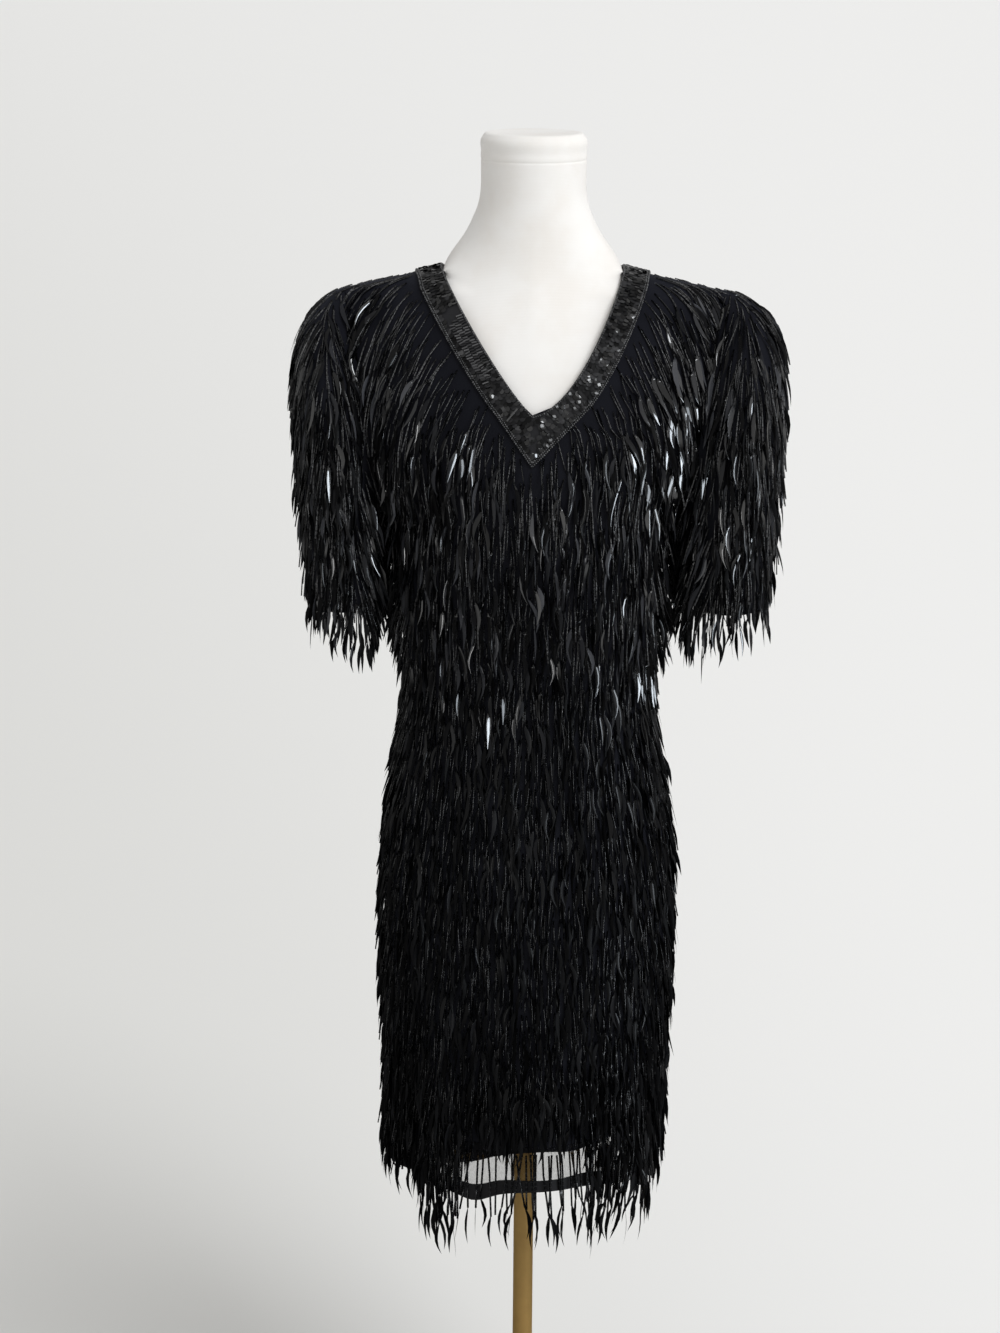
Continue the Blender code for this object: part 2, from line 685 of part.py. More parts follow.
def yoke_tapes():
    """Short tapes across the upper chest and back, with locks that fan away from the neck."""
    for yoke in YOKES:
        ahead = -1 if yoke.side == "front" else 1
        start, end = (yoke.start, yoke.end) if ahead < 0 else (yoke.end, yoke.start)
        x = tape_columns(start, end, yoke.locks, False)

        def on_cloth(across, z, off):
            surface = np.stack([across, ahead * depth(across, z, yoke.side), z + 0 * across], axis=-1)
            return surface + off * outward(across, z)

        def outward(across, z):
            step = 0.002
            slope_x = (depth(across + step, z, yoke.side) - depth(across - step, z, yoke.side)) / step / 2
            slope_z = (depth(across, z + step, yoke.side) - depth(across, z - step, yoke.side)) / step / 2
            way = np.stack([-slope_x, ahead + 0 * across, -slope_z], axis=-1)
            return way / np.linalg.norm(way, axis=-1, keepdims=True)

        tips = []
        for lock in range(yoke.locks):
            middle = (x[2 * lock] + x[2 * lock + 1]) / 2
            fan = 0.10 * middle
            waist = on_cloth(middle + 0.5 * fan, yoke.height - 0.45 * LOCK_LENGTH, 0.6 * LOCK_STAND_OFF)
            end = on_cloth(middle + fan, yoke.height - LOCK_LENGTH, LOCK_STAND_OFF)
            away = outward(middle + fan, yoke.height - LOCK_LENGTH)
            side_way = np.cross((0, 0, 1), away)
            tips.append((waist, side_way / np.linalg.norm(side_way), end, away))
        fringe_mesh(yoke.name, on_cloth(x, yoke.height + TAPE_HEIGHT, YOKE_TAPE_OFF),
                    on_cloth(x, yoke.height, YOKE_TAPE_OFF), outward(x, yoke.height), tips, False)


def sleeve_point(rings, ring, share):
    """Point of a sleeve's surface between its rings, a share of the way round."""
    last = len(rings) - 1
    lower = min(int(ring), last - 1)
    between = ring - lower
    columns = rings.shape[1]
    place = share * columns
    column = int(math.floor(place)) % columns
    after = (column + 1) % columns
    part = place - math.floor(place)
    near = rings[lower, column] * (1 - part) + rings[lower, after] * part
    far = rings[lower + 1, column] * (1 - part) + rings[lower + 1, after] * part
    return near * (1 - between) + far * between


def sleeve_tapes():
    """Tapes round each sleeve, with locks that hang straight down off its outside."""
    for side in ("left", "right"):
        rings = sleeve_rings(side)
        sign = 1 if side == "right" else -1
        for tape in SLEEVE_TAPES:
            axis = rings[int(tape.ring)].mean(axis=0)
            cells = 2 * tape.locks
            shares = np.arange(cells) / cells
            if side == "right":
                shares = (-shares) % 1
            on_ring = np.array([sleeve_point(rings, tape.ring, share) for share in shares])
            above = np.array([sleeve_point(rings, tape.ring - 0.14, share) for share in shares])
            out = level(on_ring - axis)
            tips = []
            for lock in range(tape.locks):
                share = (2 * lock + 0.5) / cells
                share = (1 - share) % 1 if side == "right" else share
                root = sleeve_point(rings, tape.ring, share)
                away = level(root - axis)
                side_way = np.cross((0, 0, 1), away)
                stand_off = LOCK_STAND_OFF if tape.drop == 0 else CUFF_STAND_OFF
                stand_off *= 0.8 if away[0] * sign < -0.3 else 1.0
                waist, end = [
                    sleeve_point(rings, min(tape.ring + step * tape.rings_down, len(rings) - 1), share)
                    + step / 2 * (stand_off * away - (0, 0, tape.drop)) for step in (1, 2)]
                tips.append((waist, side_way, end + 0.5 * LOCK_CURVE * side_way, away))
            fringe_mesh(tape.name + "_" + side, above + SLEEVE_TAPE_OFF * out,
                        on_ring + SLEEVE_TAPE_OFF * out, out, tips, True)


def oval(turn, half_width, front, back, height):
    """Level oval loop, anticlockwise from above, that starts at the front."""
    ahead = np.where(np.cos(turn) >= 0, -front, -back)
    return np.stack([half_width * np.sin(turn), ahead * np.cos(turn), np.full(len(turn), height)], axis=-1)


def form_loop(turn, height):
    """Loop of the form's body under the dress, with the root of the neck in it near the top."""
    rounding = FORM_EDGE if height == FORM_BOTTOM else 0.0
    clearance = FORM_CLEARANCE if height > CHEST else FORM_WAIST_CLEARANCE
    half_width = form_half_width(height) - rounding
    x = half_width * np.sin(turn)
    near = depth(x, height, "front", clearance + rounding) * arm_end(x, half_width)
    far = depth(x, height, "back", clearance + rounding) * arm_end(x, half_width)
    if height > CHEST:
        column = NECK_COLUMN * np.sqrt(1 - np.clip(np.abs(x) / NECK_COLUMN, 0, 1) ** 2)
        near = np.maximum(near, column)
        far = np.maximum(far, column)
    y = np.where(np.cos(turn) >= 0, -near, far)
    return np.stack([x, y, np.full(len(turn), height)], axis=-1)


def form_half_width(height):
    """Half width of the form, held under the sloping shoulder line of the dress."""
    under = (SHOULDER_PEAK - FORM_CLEARANCE - height) / SHOULDER_FALL
    return min(float(read(BODY, "form_half_width", height)), float(under))


def arm_end(x, half_width):
    """Round the form off towards its sides."""
    return (1 - np.clip(np.abs(x) / half_width, 0, 1) ** 3) ** (1 / 2.6)


def build_form():
    """Padded body and neck in one piece, with a blind socket for the pole underneath."""
    turn = np.linspace(0, 2 * math.pi, 36, endpoint=False)
    bore = POLE_RADIUS + GAP
    loops = [oval(turn, bore, bore, bore, FORM_BOTTOM + POLE_SOCKET + GAP),
             oval(turn, bore, bore, bore, FORM_BOTTOM)]
    heights = [FORM_BOTTOM, FORM_BOTTOM + FORM_EDGE,
               *np.linspace(FORM_BOTTOM + 0.05, UNDERARM, 8),
               *np.linspace(UNDERARM + 0.035, 1.345, 5), 1.362, 1.374, 1.382, 1.387]
    loops += [form_loop(turn, height) for height in heights]
    loops += [oval(turn, row.half_width, row.front, row.back, row.height) for row in NECK]
    loft_object("dress_form", loops, FORM_COVER)


def build_stand():
    """Round base with a blind socket, and the pole that goes from it up into the form."""
    sides = 40
    loops = [circle(row.radius, row.height, sides) for row in BASE]
    loops.append(circle(POLE_RADIUS + GAP, BASE[-1].height, sides))
    loops.append(circle(POLE_RADIUS + GAP, BASE_SOCKET_FLOOR, sides))
    loft_object("base", loops, BRASS)
    ends = (BASE_SOCKET_FLOOR + GAP, FORM_BOTTOM + POLE_SOCKET)
    loft_object("pole", [circle(POLE_RADIUS, height, 24) for height in ends], BRASS)


def main():
    """Build the stand, the form, and then the dress from the inside out."""
    clear_scene()
    build_stand()
    build_form()
    front_panel()
    back_panels()
    sleeves()
    lower_edges()
    neck_bands()
    body_tapes()
    yoke_tapes()
    sleeve_tapes()


main()
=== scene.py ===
"""Looks of the beaded fringe dress on its dress form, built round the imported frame.

Metres, +Z up, the front faces -Y, the origin is on the floor on the axis of the pole. The cloth
repeats the body surface of the solids at a finer step. The fringe is laid on that surface: each
strand is a string of bugle beads with a curved paillette at its end, which slides down the cloth
and hangs free where the cloth falls away.
"""
from __future__ import annotations

import json
import logging
import math
from collections import namedtuple
from dataclasses import dataclass, fields
from enum import Enum
from typing import Any, Callable, Optional, Sequence, Union

import bmesh
import bpy
import numpy as np
from mathutils import Euler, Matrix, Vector

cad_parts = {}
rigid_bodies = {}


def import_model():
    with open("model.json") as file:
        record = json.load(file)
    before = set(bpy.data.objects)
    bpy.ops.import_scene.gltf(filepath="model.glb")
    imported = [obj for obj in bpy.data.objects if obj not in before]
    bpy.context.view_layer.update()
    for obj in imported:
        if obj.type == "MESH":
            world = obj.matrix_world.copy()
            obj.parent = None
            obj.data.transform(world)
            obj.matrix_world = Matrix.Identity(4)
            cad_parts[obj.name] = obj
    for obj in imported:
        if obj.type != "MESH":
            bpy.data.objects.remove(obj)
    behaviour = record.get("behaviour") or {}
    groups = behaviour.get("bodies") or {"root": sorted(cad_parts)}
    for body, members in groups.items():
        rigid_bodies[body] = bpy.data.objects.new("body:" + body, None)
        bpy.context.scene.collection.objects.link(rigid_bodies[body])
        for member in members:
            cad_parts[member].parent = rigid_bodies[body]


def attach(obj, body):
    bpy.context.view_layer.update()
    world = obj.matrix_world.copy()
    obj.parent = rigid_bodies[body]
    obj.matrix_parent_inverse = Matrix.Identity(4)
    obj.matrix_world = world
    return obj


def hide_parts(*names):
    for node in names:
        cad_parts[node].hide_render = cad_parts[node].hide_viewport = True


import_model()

log = logging.getLogger("fringe_dress")
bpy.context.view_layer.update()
BODY = "root"
Array = np.ndarray
Colour = tuple[float, float, float]
TURNED = [1, 2, 3, 0]


class Side(Enum):
    """Left or right as the front is seen; the value is the sign of x."""

    LEFT = -1
    RIGHT = 1

    @property
    def word(self) -> str:
        """Name used in the pieces' names."""
        return self.name.lower()


class Face(Enum):
    """Front or back of the dress; the value is the sign of y."""

    FRONT = -1
    BACK = 1

    @property
    def word(self) -> str:
        """Name used in the tables."""
        return self.name.lower()


# Shader maths


def math_node(operation: str, swapped: bool = False) -> Callable[..., "Socket"]:
    """A method of Socket that adds one Math node, with the other value first if swapped.

    Args:
        operation: the node's.
        swapped: whether the other value comes first.

    Returns:
        The method.
    """
    def apply(this: "Socket", other: Any = 0.0) -> "Socket":
        """Add the node."""
        values = (other, this) if swapped else (this, other)
        return this.graph.node("ShaderNodeMath", {"operation": operation}, dict(enumerate(values)))

    return apply


class Socket:
    """An output of a shader node that can be used in Python sums."""

    def __init__(self, graph: "Graph", link: bpy.types.NodeSocket) -> None:
        """Keep the graph and the output."""
        self.graph = graph
        self.link = link

    __add__ = math_node("ADD")
    __radd__ = math_node("ADD", True)
    __sub__ = math_node("SUBTRACT")
    __rsub__ = math_node("SUBTRACT", True)
    __mul__ = math_node("MULTIPLY")
    __rmul__ = math_node("MULTIPLY", True)
    __truediv__ = math_node("DIVIDE")
    __rtruediv__ = math_node("DIVIDE", True)
    __pow__ = math_node("POWER")
    sine = math_node("SINE")
    larger = math_node("MAXIMUM")

    def ramp(self, low: float, high: float) -> "Socket":
        """Smooth rise from 0 at `low` to 1 at `high`."""
        return self.graph.node("ShaderNodeMapRange", {"interpolation_type": "SMOOTHSTEP"},
                               {"Value": self, "From Min": low, "From Max": high})


class Graph:
    """The nodes of one material."""

    def __init__(self, name: str) -> None:
        """Start an empty material with its output and its main shader."""
        self.material = bpy.data.materials.new(name)
        self.material.use_nodes = True
        self.tree = self.material.node_tree
        self.tree.nodes.clear()
        self.out = self.tree.nodes.new("ShaderNodeOutputMaterial")
        self.shader = self.tree.nodes.new("ShaderNodeBsdfPrincipled")
        self.tree.links.new(self.shader.outputs[0], self.out.inputs["Surface"])

    def node(self, kind: str, settings: Optional[dict[str, Any]] = None,
             inputs: Optional[dict[Union[int, str], Any]] = None,
             output: Union[int, str] = 0) -> Socket:
        """Add a node, set it, then fill or link its inputs.

        Args:
            kind: the node's type.
            settings: its properties, such as an operation.
            inputs: values or sockets by the input's name or number.
            output: which output to return.

        Returns:
            The chosen output.
        """
        made = self.tree.nodes.new(kind)
        for key, value in (settings or {}).items():
            setattr(made, key, value)
        for key, value in (inputs or {}).items():
            self._fill(made.inputs[key], value)
        return Socket(self, made.outputs[output])

    def _fill(self, target: bpy.types.NodeSocket, value: Any) -> None:
        """Link a socket or set a constant."""
        if isinstance(value, Socket):
            self.tree.links.new(value.link, target)
        else:
            target.default_value = value

    def set(self, **inputs: Any) -> None:
        """Fill inputs of the main shader; an underscore in a name stands for a space."""
        for key, value in inputs.items():
            self._fill(self.shader.inputs[key.replace("_", " ")], value)

    def place(self) -> Socket:
        """Object coordinates."""
        return self.node("ShaderNodeTexCoord", output="Object")

    def axis(self, name: str) -> Socket:
        """One of the Object coordinates, "X", "Y" or "Z"."""
        return self.node("ShaderNodeSeparateXYZ", {}, {0: self.place()}, name)

    def attribute(self, name: str) -> Socket:
        """A number kept on the mesh."""
        return self.node("ShaderNodeAttribute", {"attribute_name": name}, {}, "Fac")

    def noise(self, scale: float, detail: float = 2.0, stretch: Colour = (1, 1, 1)) -> Socket:
        """Noise on Object coordinates.

        Args:
            scale: waves per metre.
            detail: layers of finer noise.
            stretch: scale along each axis, to lengthen the grain.

        Returns:
            A value near 0.5.
        """
        mapped = self.node("ShaderNodeMapping", {}, {"Vector": self.place(), "Scale": stretch})
        return self.node("ShaderNodeTexNoise", {}, {"Vector": mapped, "Scale": scale,
                                                    "Detail": detail, "Roughness": 0.55})

    def mix(self, share: Any, first: Colour, second: Colour) -> Socket:
        """Blend two colours by a share."""
        return self.node("ShaderNodeMix", {"data_type": "RGBA"},
                         {0: share, 6: (*first, 1), 7: (*second, 1)}, 2)

    def bump(self, height: Socket, strength: float, distance: float) -> Socket:
        """Bump from a height."""
        return self.node("ShaderNodeBump", {}, {"Height": height, "Strength": strength,
                                                "Distance": distance})


# Finishes


@dataclass(frozen=True)
class Georgette:
    """Crinkled navy black georgette, sheer where no lining is behind it."""

    name: str = "georgette"
    colour: Colour = (0.0048, 0.0051, 0.0080)
    light: Colour = (0.0070, 0.0075, 0.0112)
    sheer_from: float = 0.462
    sheer_alpha: float = 0.20
    crinkle: float = 900.0

    def build(self, sheer: bool = False) -> bpy.types.Material:
        """Make the material.

        Args:
            sheer: whether the cloth lets light through below the lining.

        Returns:
            The material.
        """
        graph = Graph(self.name + ("_sheer" if sheer else ""))
        grain = graph.noise(self.crinkle, 3.0, (1.0, 1.0, 0.35))
        cloud = graph.noise(18.0, 2.0)
        graph.set(Base_Color=graph.mix(cloud.ramp(0.35, 0.7), self.colour, self.light),
                  Roughness=0.82, Specular_IOR_Level=0.12,
                  Sheen_Weight=0.06, Sheen_Roughness=0.45, Sheen_Tint=(0.45, 0.50, 0.70, 1),
                  Normal=graph.bump(grain, 0.35, 0.0006))
        if sheer:
            thread = grain.ramp(0.42, 0.62) * 0.08
            graph.set(Alpha=graph.axis("Z").ramp(self.sheer_from - 0.003, self.sheer_from)
                      * (1 - self.sheer_alpha) + self.sheer_alpha + thread)
        return graph.material


@dataclass(frozen=True)
class PlainCloth:
    """Close matte cloth: the lining, the doubled hem and the fringe tapes."""

    name: str = "lining_cloth"
    colour: Colour = (0.0035, 0.0035, 0.0050)
    light: Colour = (0.0075, 0.0075, 0.0100)
    weave: float = 1600.0

    def build(self) -> bpy.types.Material:
        """Make the material."""
        graph = Graph(self.name)
        grain = graph.noise(self.weave, 2.0, (1.0, 1.0, 0.6))
        graph.set(Base_Color=graph.mix(graph.noise(25.0), self.colour, self.light),
                  Roughness=0.62, Specular_IOR_Level=0.35, Sheen_Weight=0.12,
                  Normal=graph.bump(grain, 0.25, 0.0004))
        return graph.material


@dataclass(frozen=True)
class StrandGloss:
    """Moulded black paillettes, each with its own tone and gloss, with painted light from above in
    the tone.
    """

    name: str = "paillettes"
    dark: Colour = (0.0006, 0.0006, 0.0009)
    light: Colour = (0.0530, 0.0552, 0.0630)
    matte: float = 0.48
    gloss: float = 0.12
    reflect: float = 0.10
    coat: float = 0.95

    def build(self) -> bpy.types.Material:
        """Make the material: `tone` and `shine` are per strand; `tone` also holds painted light,
        lighter higher up.
        """
        graph = Graph(self.name)
        shine = graph.attribute("shine")
        scuff = graph.noise(700.0, 2.0, (1.0, 1.0, 0.3))
        graph.set(Base_Color=graph.mix(graph.attribute("tone"), self.dark, self.light),
                  Roughness=self.matte - shine * (self.matte - self.gloss) + scuff * 0.06,
                  Specular_IOR_Level=self.reflect, Coat_IOR=2.0,
                  Coat_Weight=shine**2 * self.coat, Coat_Roughness=0.07,
                  Normal=graph.bump(scuff, 0.06, 0.0002))
        return graph.material


@dataclass(frozen=True)
class BugleGlass:
    """Cut black glass bugles on a thread, with dark gaps between them; their lighter colours are
    painted sheen.
    """

    name: str = "bugle_glass"
    dark: Colour = (0.0026, 0.0028, 0.0038)
    # painted sheen: this light colour stands in for the gloss of the black glass
    light: Colour = (0.0950, 0.0950, 0.0980)
    gap: Colour = (0.0002, 0.0002, 0.0002)
    pitch: float = 0.0052

    def build(self) -> bpy.types.Material:
        """Make the material: `tone` is per strand and, on the fringe, also carries painted light
        from above; `along` is metres down it.
        """
        graph = Graph(self.name)
        wave = (graph.attribute("along") * (2 * math.pi / self.pitch)).sine()
        bead = wave.ramp(-0.98, -0.60)
        # bead colour from dark to the painted sheen, by tone
        lit = graph.mix(graph.attribute("tone"), self.dark, self.light)
        shown = graph.node("ShaderNodeMix", {"data_type": "RGBA"},
                           {0: 1 - bead, 6: lit, 7: (*self.gap, 1)}, 2)
        graph.set(Base_Color=shown, Roughness=0.55 - bead * 0.34, IOR=1.6,
                  Specular_IOR_Level=0.45)
        return graph.material


@dataclass(frozen=True)
class SequinGloss:
    """Black sequins, some of them mirror bright."""

    name: str = "sequins"
    dark: Colour = (0.0005, 0.0005, 0.0007)
    light: Colour = (0.0300, 0.0300, 0.0320)

    def build(self) -> bpy.types.Material:
        """Make the material: `tone` and `shine` are per sequin."""
        graph = Graph(self.name)
        tone = graph.attribute("tone")
        shine = graph.attribute("shine")
        graph.set(Base_Color=graph.mix(tone, self.dark, self.light), Roughness=0.40 - shine * 0.28,
                  Specular_IOR_Level=0.18, Coat_Weight=shine**3, Coat_Roughness=0.05, Coat_IOR=1.8,
                  Normal=graph.bump(graph.noise(500.0), 0.05, 0.0003))
        return graph.material


@dataclass(frozen=True)
class StretchCover:
    """White stretch jersey pulled smooth over the padded form."""

    name: str = "form_cover"
    colour: Colour = (0.835, 0.805, 0.770)
    light: Colour = (0.875, 0.860, 0.840)
    knit: float = 1400.0

    def build(self) -> bpy.types.Material:
        """Make the material: fine knit rows and faint handling marks."""
        graph = Graph(self.name)
        rib = (graph.axis("Z") * (2 * math.pi * self.knit / 2)).sine() * 0.5 + 0.5
        fuzz = graph.noise(self.knit, 2.0)
        marks = graph.noise(14.0, 4.0).ramp(0.35, 0.65)
        graph.set(Base_Color=graph.mix(marks, self.colour, self.light), Roughness=0.80,
                  Specular_IOR_Level=0.25, Sheen_Weight=0.20, Sheen_Roughness=0.5,
                  Normal=graph.bump(rib * 0.4 + fuzz * 0.6, 0.18, 0.0004))
        return graph.material


@dataclass(frozen=True)
class SatinBrass:
    """Brushed brass with fine lengthwise lines and small tarnish clouds."""

    name: str = "brass"
    colour: Colour = (0.60, 0.38, 0.13)
    dull: Colour = (0.42, 0.26, 0.085)

    def build(self) -> bpy.types.Material:
        """Make the material."""
        graph = Graph(self.name)
        lines = graph.noise(900.0, 2.0, (1.0, 1.0, 0.02))
        cloud = graph.noise(20.0, 4.0).ramp(0.35, 0.75)
        graph.set(Base_Color=graph.mix(cloud * 0.6, self.colour, self.dull), Metallic=0.60,
                  Roughness=0.30 + lines * 0.12 + cloud * 0.06,
                  Normal=graph.bump(lines, 0.10, 0.0003))
        return graph.material


@dataclass(frozen=True)
class PalePaper:
    """Pale studio floor with painted shade: darker towards the left and towards the camera."""

    name: str = "studio_floor"
    colour: Colour = (0.91, 0.905, 0.895)
    shade: Colour = (0.735, 0.73, 0.71)

    def build(self) -> bpy.types.Material:
        """Make the material."""
        graph = Graph(self.name)
        # painted shade: the floor's colour mixes towards the `shade` colour to the left and near
        # the camera
        near = 1 / (graph.axis("Y") + 4.5).larger(1.0)
        aside = graph.axis("X") * near * (near * 12.0 + 1.2)
        lit = (aside + 0.82 - near * 1.7).ramp(0.0, 1.0) + graph.noise(1.5) * 0.02
        graph.set(Base_Color=graph.mix(lit, self.shade, self.colour), Roughness=0.9,
                  Specular_IOR_Level=0.1)
        return graph.material


# Meshes from arrays


def put_mesh(name: str, points: Array, faces: Sequence[Array],
             finish: Union[bpy.types.Material, Sequence[bpy.types.Material]],
             sharp: float = 40.0, numbers: Optional[dict[str, Array]] = None,
             picks: Optional[Sequence[int]] = None) -> bpy.types.Object:
    """Put arrays into a mesh object at the origin.

    Args:
        name: the piece's name.
        points: one row for each vertex.
        faces: arrays of vertex numbers, one array for each face size.
        finish: its finish, or several.
        sharp: edges steeper than this many degrees are shaded sharp.
        numbers: values kept on the vertices, by name.
        picks: which finish each array of faces takes.

    Returns:
        The object.
    """
    mesh = bpy.data.meshes.new(name)
    loops = np.concatenate([part.ravel() for part in faces]).astype(np.int32)
    totals = np.concatenate([np.full(len(part), part.shape[1]) for part in faces]).astype(np.int32)
    starts = np.concatenate([[0], np.cumsum(totals)[:-1]]).astype(np.int32)
    mesh.vertices.add(len(points))
    mesh.vertices.foreach_set("co", np.asarray(points, np.float32).ravel())
    mesh.loops.add(len(loops))
    mesh.loops.foreach_set("vertex_index", loops)
    mesh.polygons.add(len(totals))
    mesh.polygons.foreach_set("loop_start", starts)
    mesh.polygons.foreach_set("loop_total", totals)
    mesh.update(calc_edges=True)
    mesh.validate()
    mesh.shade_smooth()
    mesh.set_sharp_from_angle(angle=math.radians(sharp))
    for key, values in (numbers or {}).items():
        kept = mesh.attributes.new(key, "FLOAT", "POINT")
        kept.data.foreach_set("value", np.asarray(values, np.float32))
    for material in finish if isinstance(finish, (list, tuple)) else [finish]:
        mesh.materials.append(material)
    if picks is not None:
        chosen = np.concatenate([np.full(len(part), pick) for part, pick in zip(faces, picks)])
        mesh.polygons.foreach_set("material_index", chosen.astype(np.int32))
    made = bpy.data.objects.new(name, mesh)
    bpy.context.scene.collection.objects.link(made)
    return made


def weld(made: bpy.types.Object, distance: float = 1e-6) -> None:
    """Merge the vertices of a mesh that share a place."""
    cell = bmesh.new()
    cell.from_mesh(made.data)
    bmesh.ops.remove_doubles(cell, verts=cell.verts, dist=distance)
    cell.to_mesh(made.data)
    cell.free()


def grid_quads(rows: int, columns: int, closed: bool, first: int = 0) -> Array:
    """Faces of a grid: each joins a place to the next column and the next row.

    Args:
        rows: rows of points.
        columns: points in a row.
        closed: whether the last column joins the first.
        first: number of the grid's first point.

    Returns:
        One row of four numbers for each face.
    """
    row = np.arange(rows - 1)[:, None]
    column = np.arange(columns if closed else columns - 1)[None, :]
    after = (column + 1) % columns
    quads = np.stack([row * columns + column, row * columns + after,
                      (row + 1) * columns + after, (row + 1) * columns + column], axis=-1)
    return quads.reshape(-1, 4) + first


def rim_quads(upper: Array, lower: Array, closed: bool) -> Array:
    """Faces between two equal rows of points, from one to the next along both."""
    shift = np.roll(upper, -1), np.roll(lower, -1)
    quads = np.stack([upper, shift[0], shift[1], lower], axis=-1)
    return quads if closed else quads[:-1]


def fan(ring: Array, tip: int, flip: bool = False) -> Array:
    """Triangles from each edge of a closed ring of points to a tip, turned over if asked."""
    faces = np.stack([ring, np.roll(ring, -1), np.full(len(ring), tip)], axis=-1)
    return faces[:, [1, 0, 2]] if flip else faces


def repeat_faces(faces: Array, count: int, points: int) -> Array:
    """The same faces for each of `count` equal shapes, each with so many points."""
    first = (np.arange(count) * points)[:, None, None]
    return (faces[None] + first).reshape(-1, faces.shape[1])


def circles(turn: Array, side: Array, out: Array) -> Array:
    """A unit circle for each pair of directions: the cosine along one, the sine along the other."""
    return (np.cos(turn)[None, :, None] * side[:, None]
            + np.sin(turn)[None, :, None] * out[:, None])


def arc_length(points: Array) -> Array:
    """Length along a line of points, from its start to each point."""
    return np.concatenate([[0], np.cumsum(np.linalg.norm(np.diff(points, axis=0), axis=-1))])


def fade_in(values: Any, start: float, width: float) -> Array:
    """Straight rise from 0 at the start to 1 a width on, downwards if that is negative."""
    return np.clip((values - start) / width, 0, 1)


def cubic(values: Array, slopes: Array, low: Array, t: Array, step: Any = 1.0) -> Array:
    """Hermite cubic at a share t of the step from a low row to the next: four weights in t.

    Args:
        values: at the rows.
        slopes: at the rows.
        low: the rows before.
        t: share of the step.
        step: between the rows.

    Returns:
        The values there.
    """
    start = (2 * t**3 - 3 * t**2 + 1) * values[low] + (t**3 - 2 * t**2 + t) * step * slopes[low]
    end = (3 * t**2 - 2 * t**3) * values[low + 1] + (t**3 - t**2) * step * slopes[low + 1]
    return start + end


@dataclass
class Patch:
    """A smooth surface kept as a grid of points, read anywhere between them."""

    points: Array
    closed: bool = False
    flip: bool = False

    def __post_init__(self) -> None:
        """Work out the slopes along the rows and the columns."""
        self.down = np.gradient(self.points, axis=0)
        if self.closed:
            self.along = (np.roll(self.points, -1, axis=1) - np.roll(self.points, 1, axis=1)) / 2
        else:
            self.along = np.gradient(self.points, axis=1)
        self.normals = unit(np.cross(self.along, self.down) * (-1 if self.flip else 1))

    def _blend(self, table: Array, row: Array, column: Array) -> Array:
        """Read a table between its grid places, straight from one to the next."""
        rows, columns = table.shape[:2]
        low = np.clip(np.floor(row).astype(int), 0, rows - 2)
        part_r = np.clip(row - low, 0, 1)[:, None]
        if self.closed:
            left = np.floor(column).astype(int)
            part_c = (column - left)[:, None]
            left, right = left % columns, (left + 1) % columns
        else:
            left = np.clip(np.floor(column).astype(int), 0, columns - 2)
            part_c = np.clip(column - left, 0, 1)[:, None]
            right = left + 1
        near = table[low, left] * (1 - part_c) + table[low, right] * part_c
        far = table[low + 1, left] * (1 - part_c) + table[low + 1, right] * part_c
        return near * (1 - part_r) + far * part_r

    def read(self, row: Array, column: Array) -> tuple[Array, Array, Array, Array]:
        """Place, outward direction and both slopes, run on straight past the edges.

        Args:
            row: fractional rows.
            column: fractional columns.

        Returns:
            Places, unit normals, slopes down the rows and slopes along the columns.
        """
        rows, columns = self.points.shape[:2]
        place = self._blend(self.points, row, column)
        normal = self._blend(self.normals, row, column)
        down = self._blend(self.down, row, column)
        along = self._blend(self.along, row, column)
        place = place + (row - np.clip(row, 0, rows - 1))[:, None] * down
        if not self.closed:
            place = place + (column - np.clip(column, 0, columns - 1))[:, None] * along
        return place, unit(normal), down, along


def unit(vectors: Array) -> Array:
    """The same directions at length one."""
    return vectors / np.maximum(np.linalg.norm(vectors, axis=-1, keepdims=True), 1e-12)


def shell(grid: Array, thickness: float, closed: bool = False, flip: bool = False,
          open_first: int = 0, inward: Optional[Array] = None) -> tuple[Array, list[Array]]:
    """Points and faces of a thin closed wall whose outer face is a grid.

    Args:
        grid: outer points, row by row.
        thickness: of the wall.
        closed: whether each row is a ring.
        flip: whether the grid's own normal points inwards.
        open_first: rows whose first column stays open, to be welded to a mirrored wall.
        inward: directions of the thickness, if they aren't the grid's own.

    Returns:
        The points, and the faces as arrays of four.
    """
    rows, columns = grid.shape[:2]
    if inward is None:
        inward = Patch(grid, closed, flip).normals
    points = np.concatenate([grid.reshape(-1, 3), (grid - thickness * inward).reshape(-1, 3)])
    count = rows * columns
    outer = grid_quads(rows, columns, closed)
    number = np.arange(count).reshape(rows, columns)
    faces = [outer, outer[:, ::-1] + count,
             rim_quads(number[0] + count, number[0], closed),
             rim_quads(number[-1], number[-1] + count, closed)]
    if not closed:
        last = number[:, -1]
        faces.append(rim_quads(last + count, last, False)[:, TURNED])
        first = number[open_first:, 0]
        if len(first) > 1:
            faces.append(rim_quads(first, first + count, False)[:, TURNED])
    if flip:
        faces = [part[:, ::-1] for part in faces]
    return points, faces


def join(parts: Sequence[tuple[Array, list[Array]]]) -> tuple[Array, list[Array]]:
    """Points and faces of several meshes as one."""
    points: list[Array] = []
    faces: list[Array] = []
    first = 0
    for part_points, part_faces in parts:
        points.append(part_points)
        faces += [part + first for part in part_faces]
        first += len(part_points)
    return np.concatenate(points), faces


# Body surface


Section = namedtuple("Section", "height half_width front back form_half_width")
Ring = namedtuple("Ring", "top_x top_z low_x low_z front back")
NeckRing = namedtuple("NeckRing", "height half_width front back")
BaseRing = namedtuple("BaseRing", "radius height")


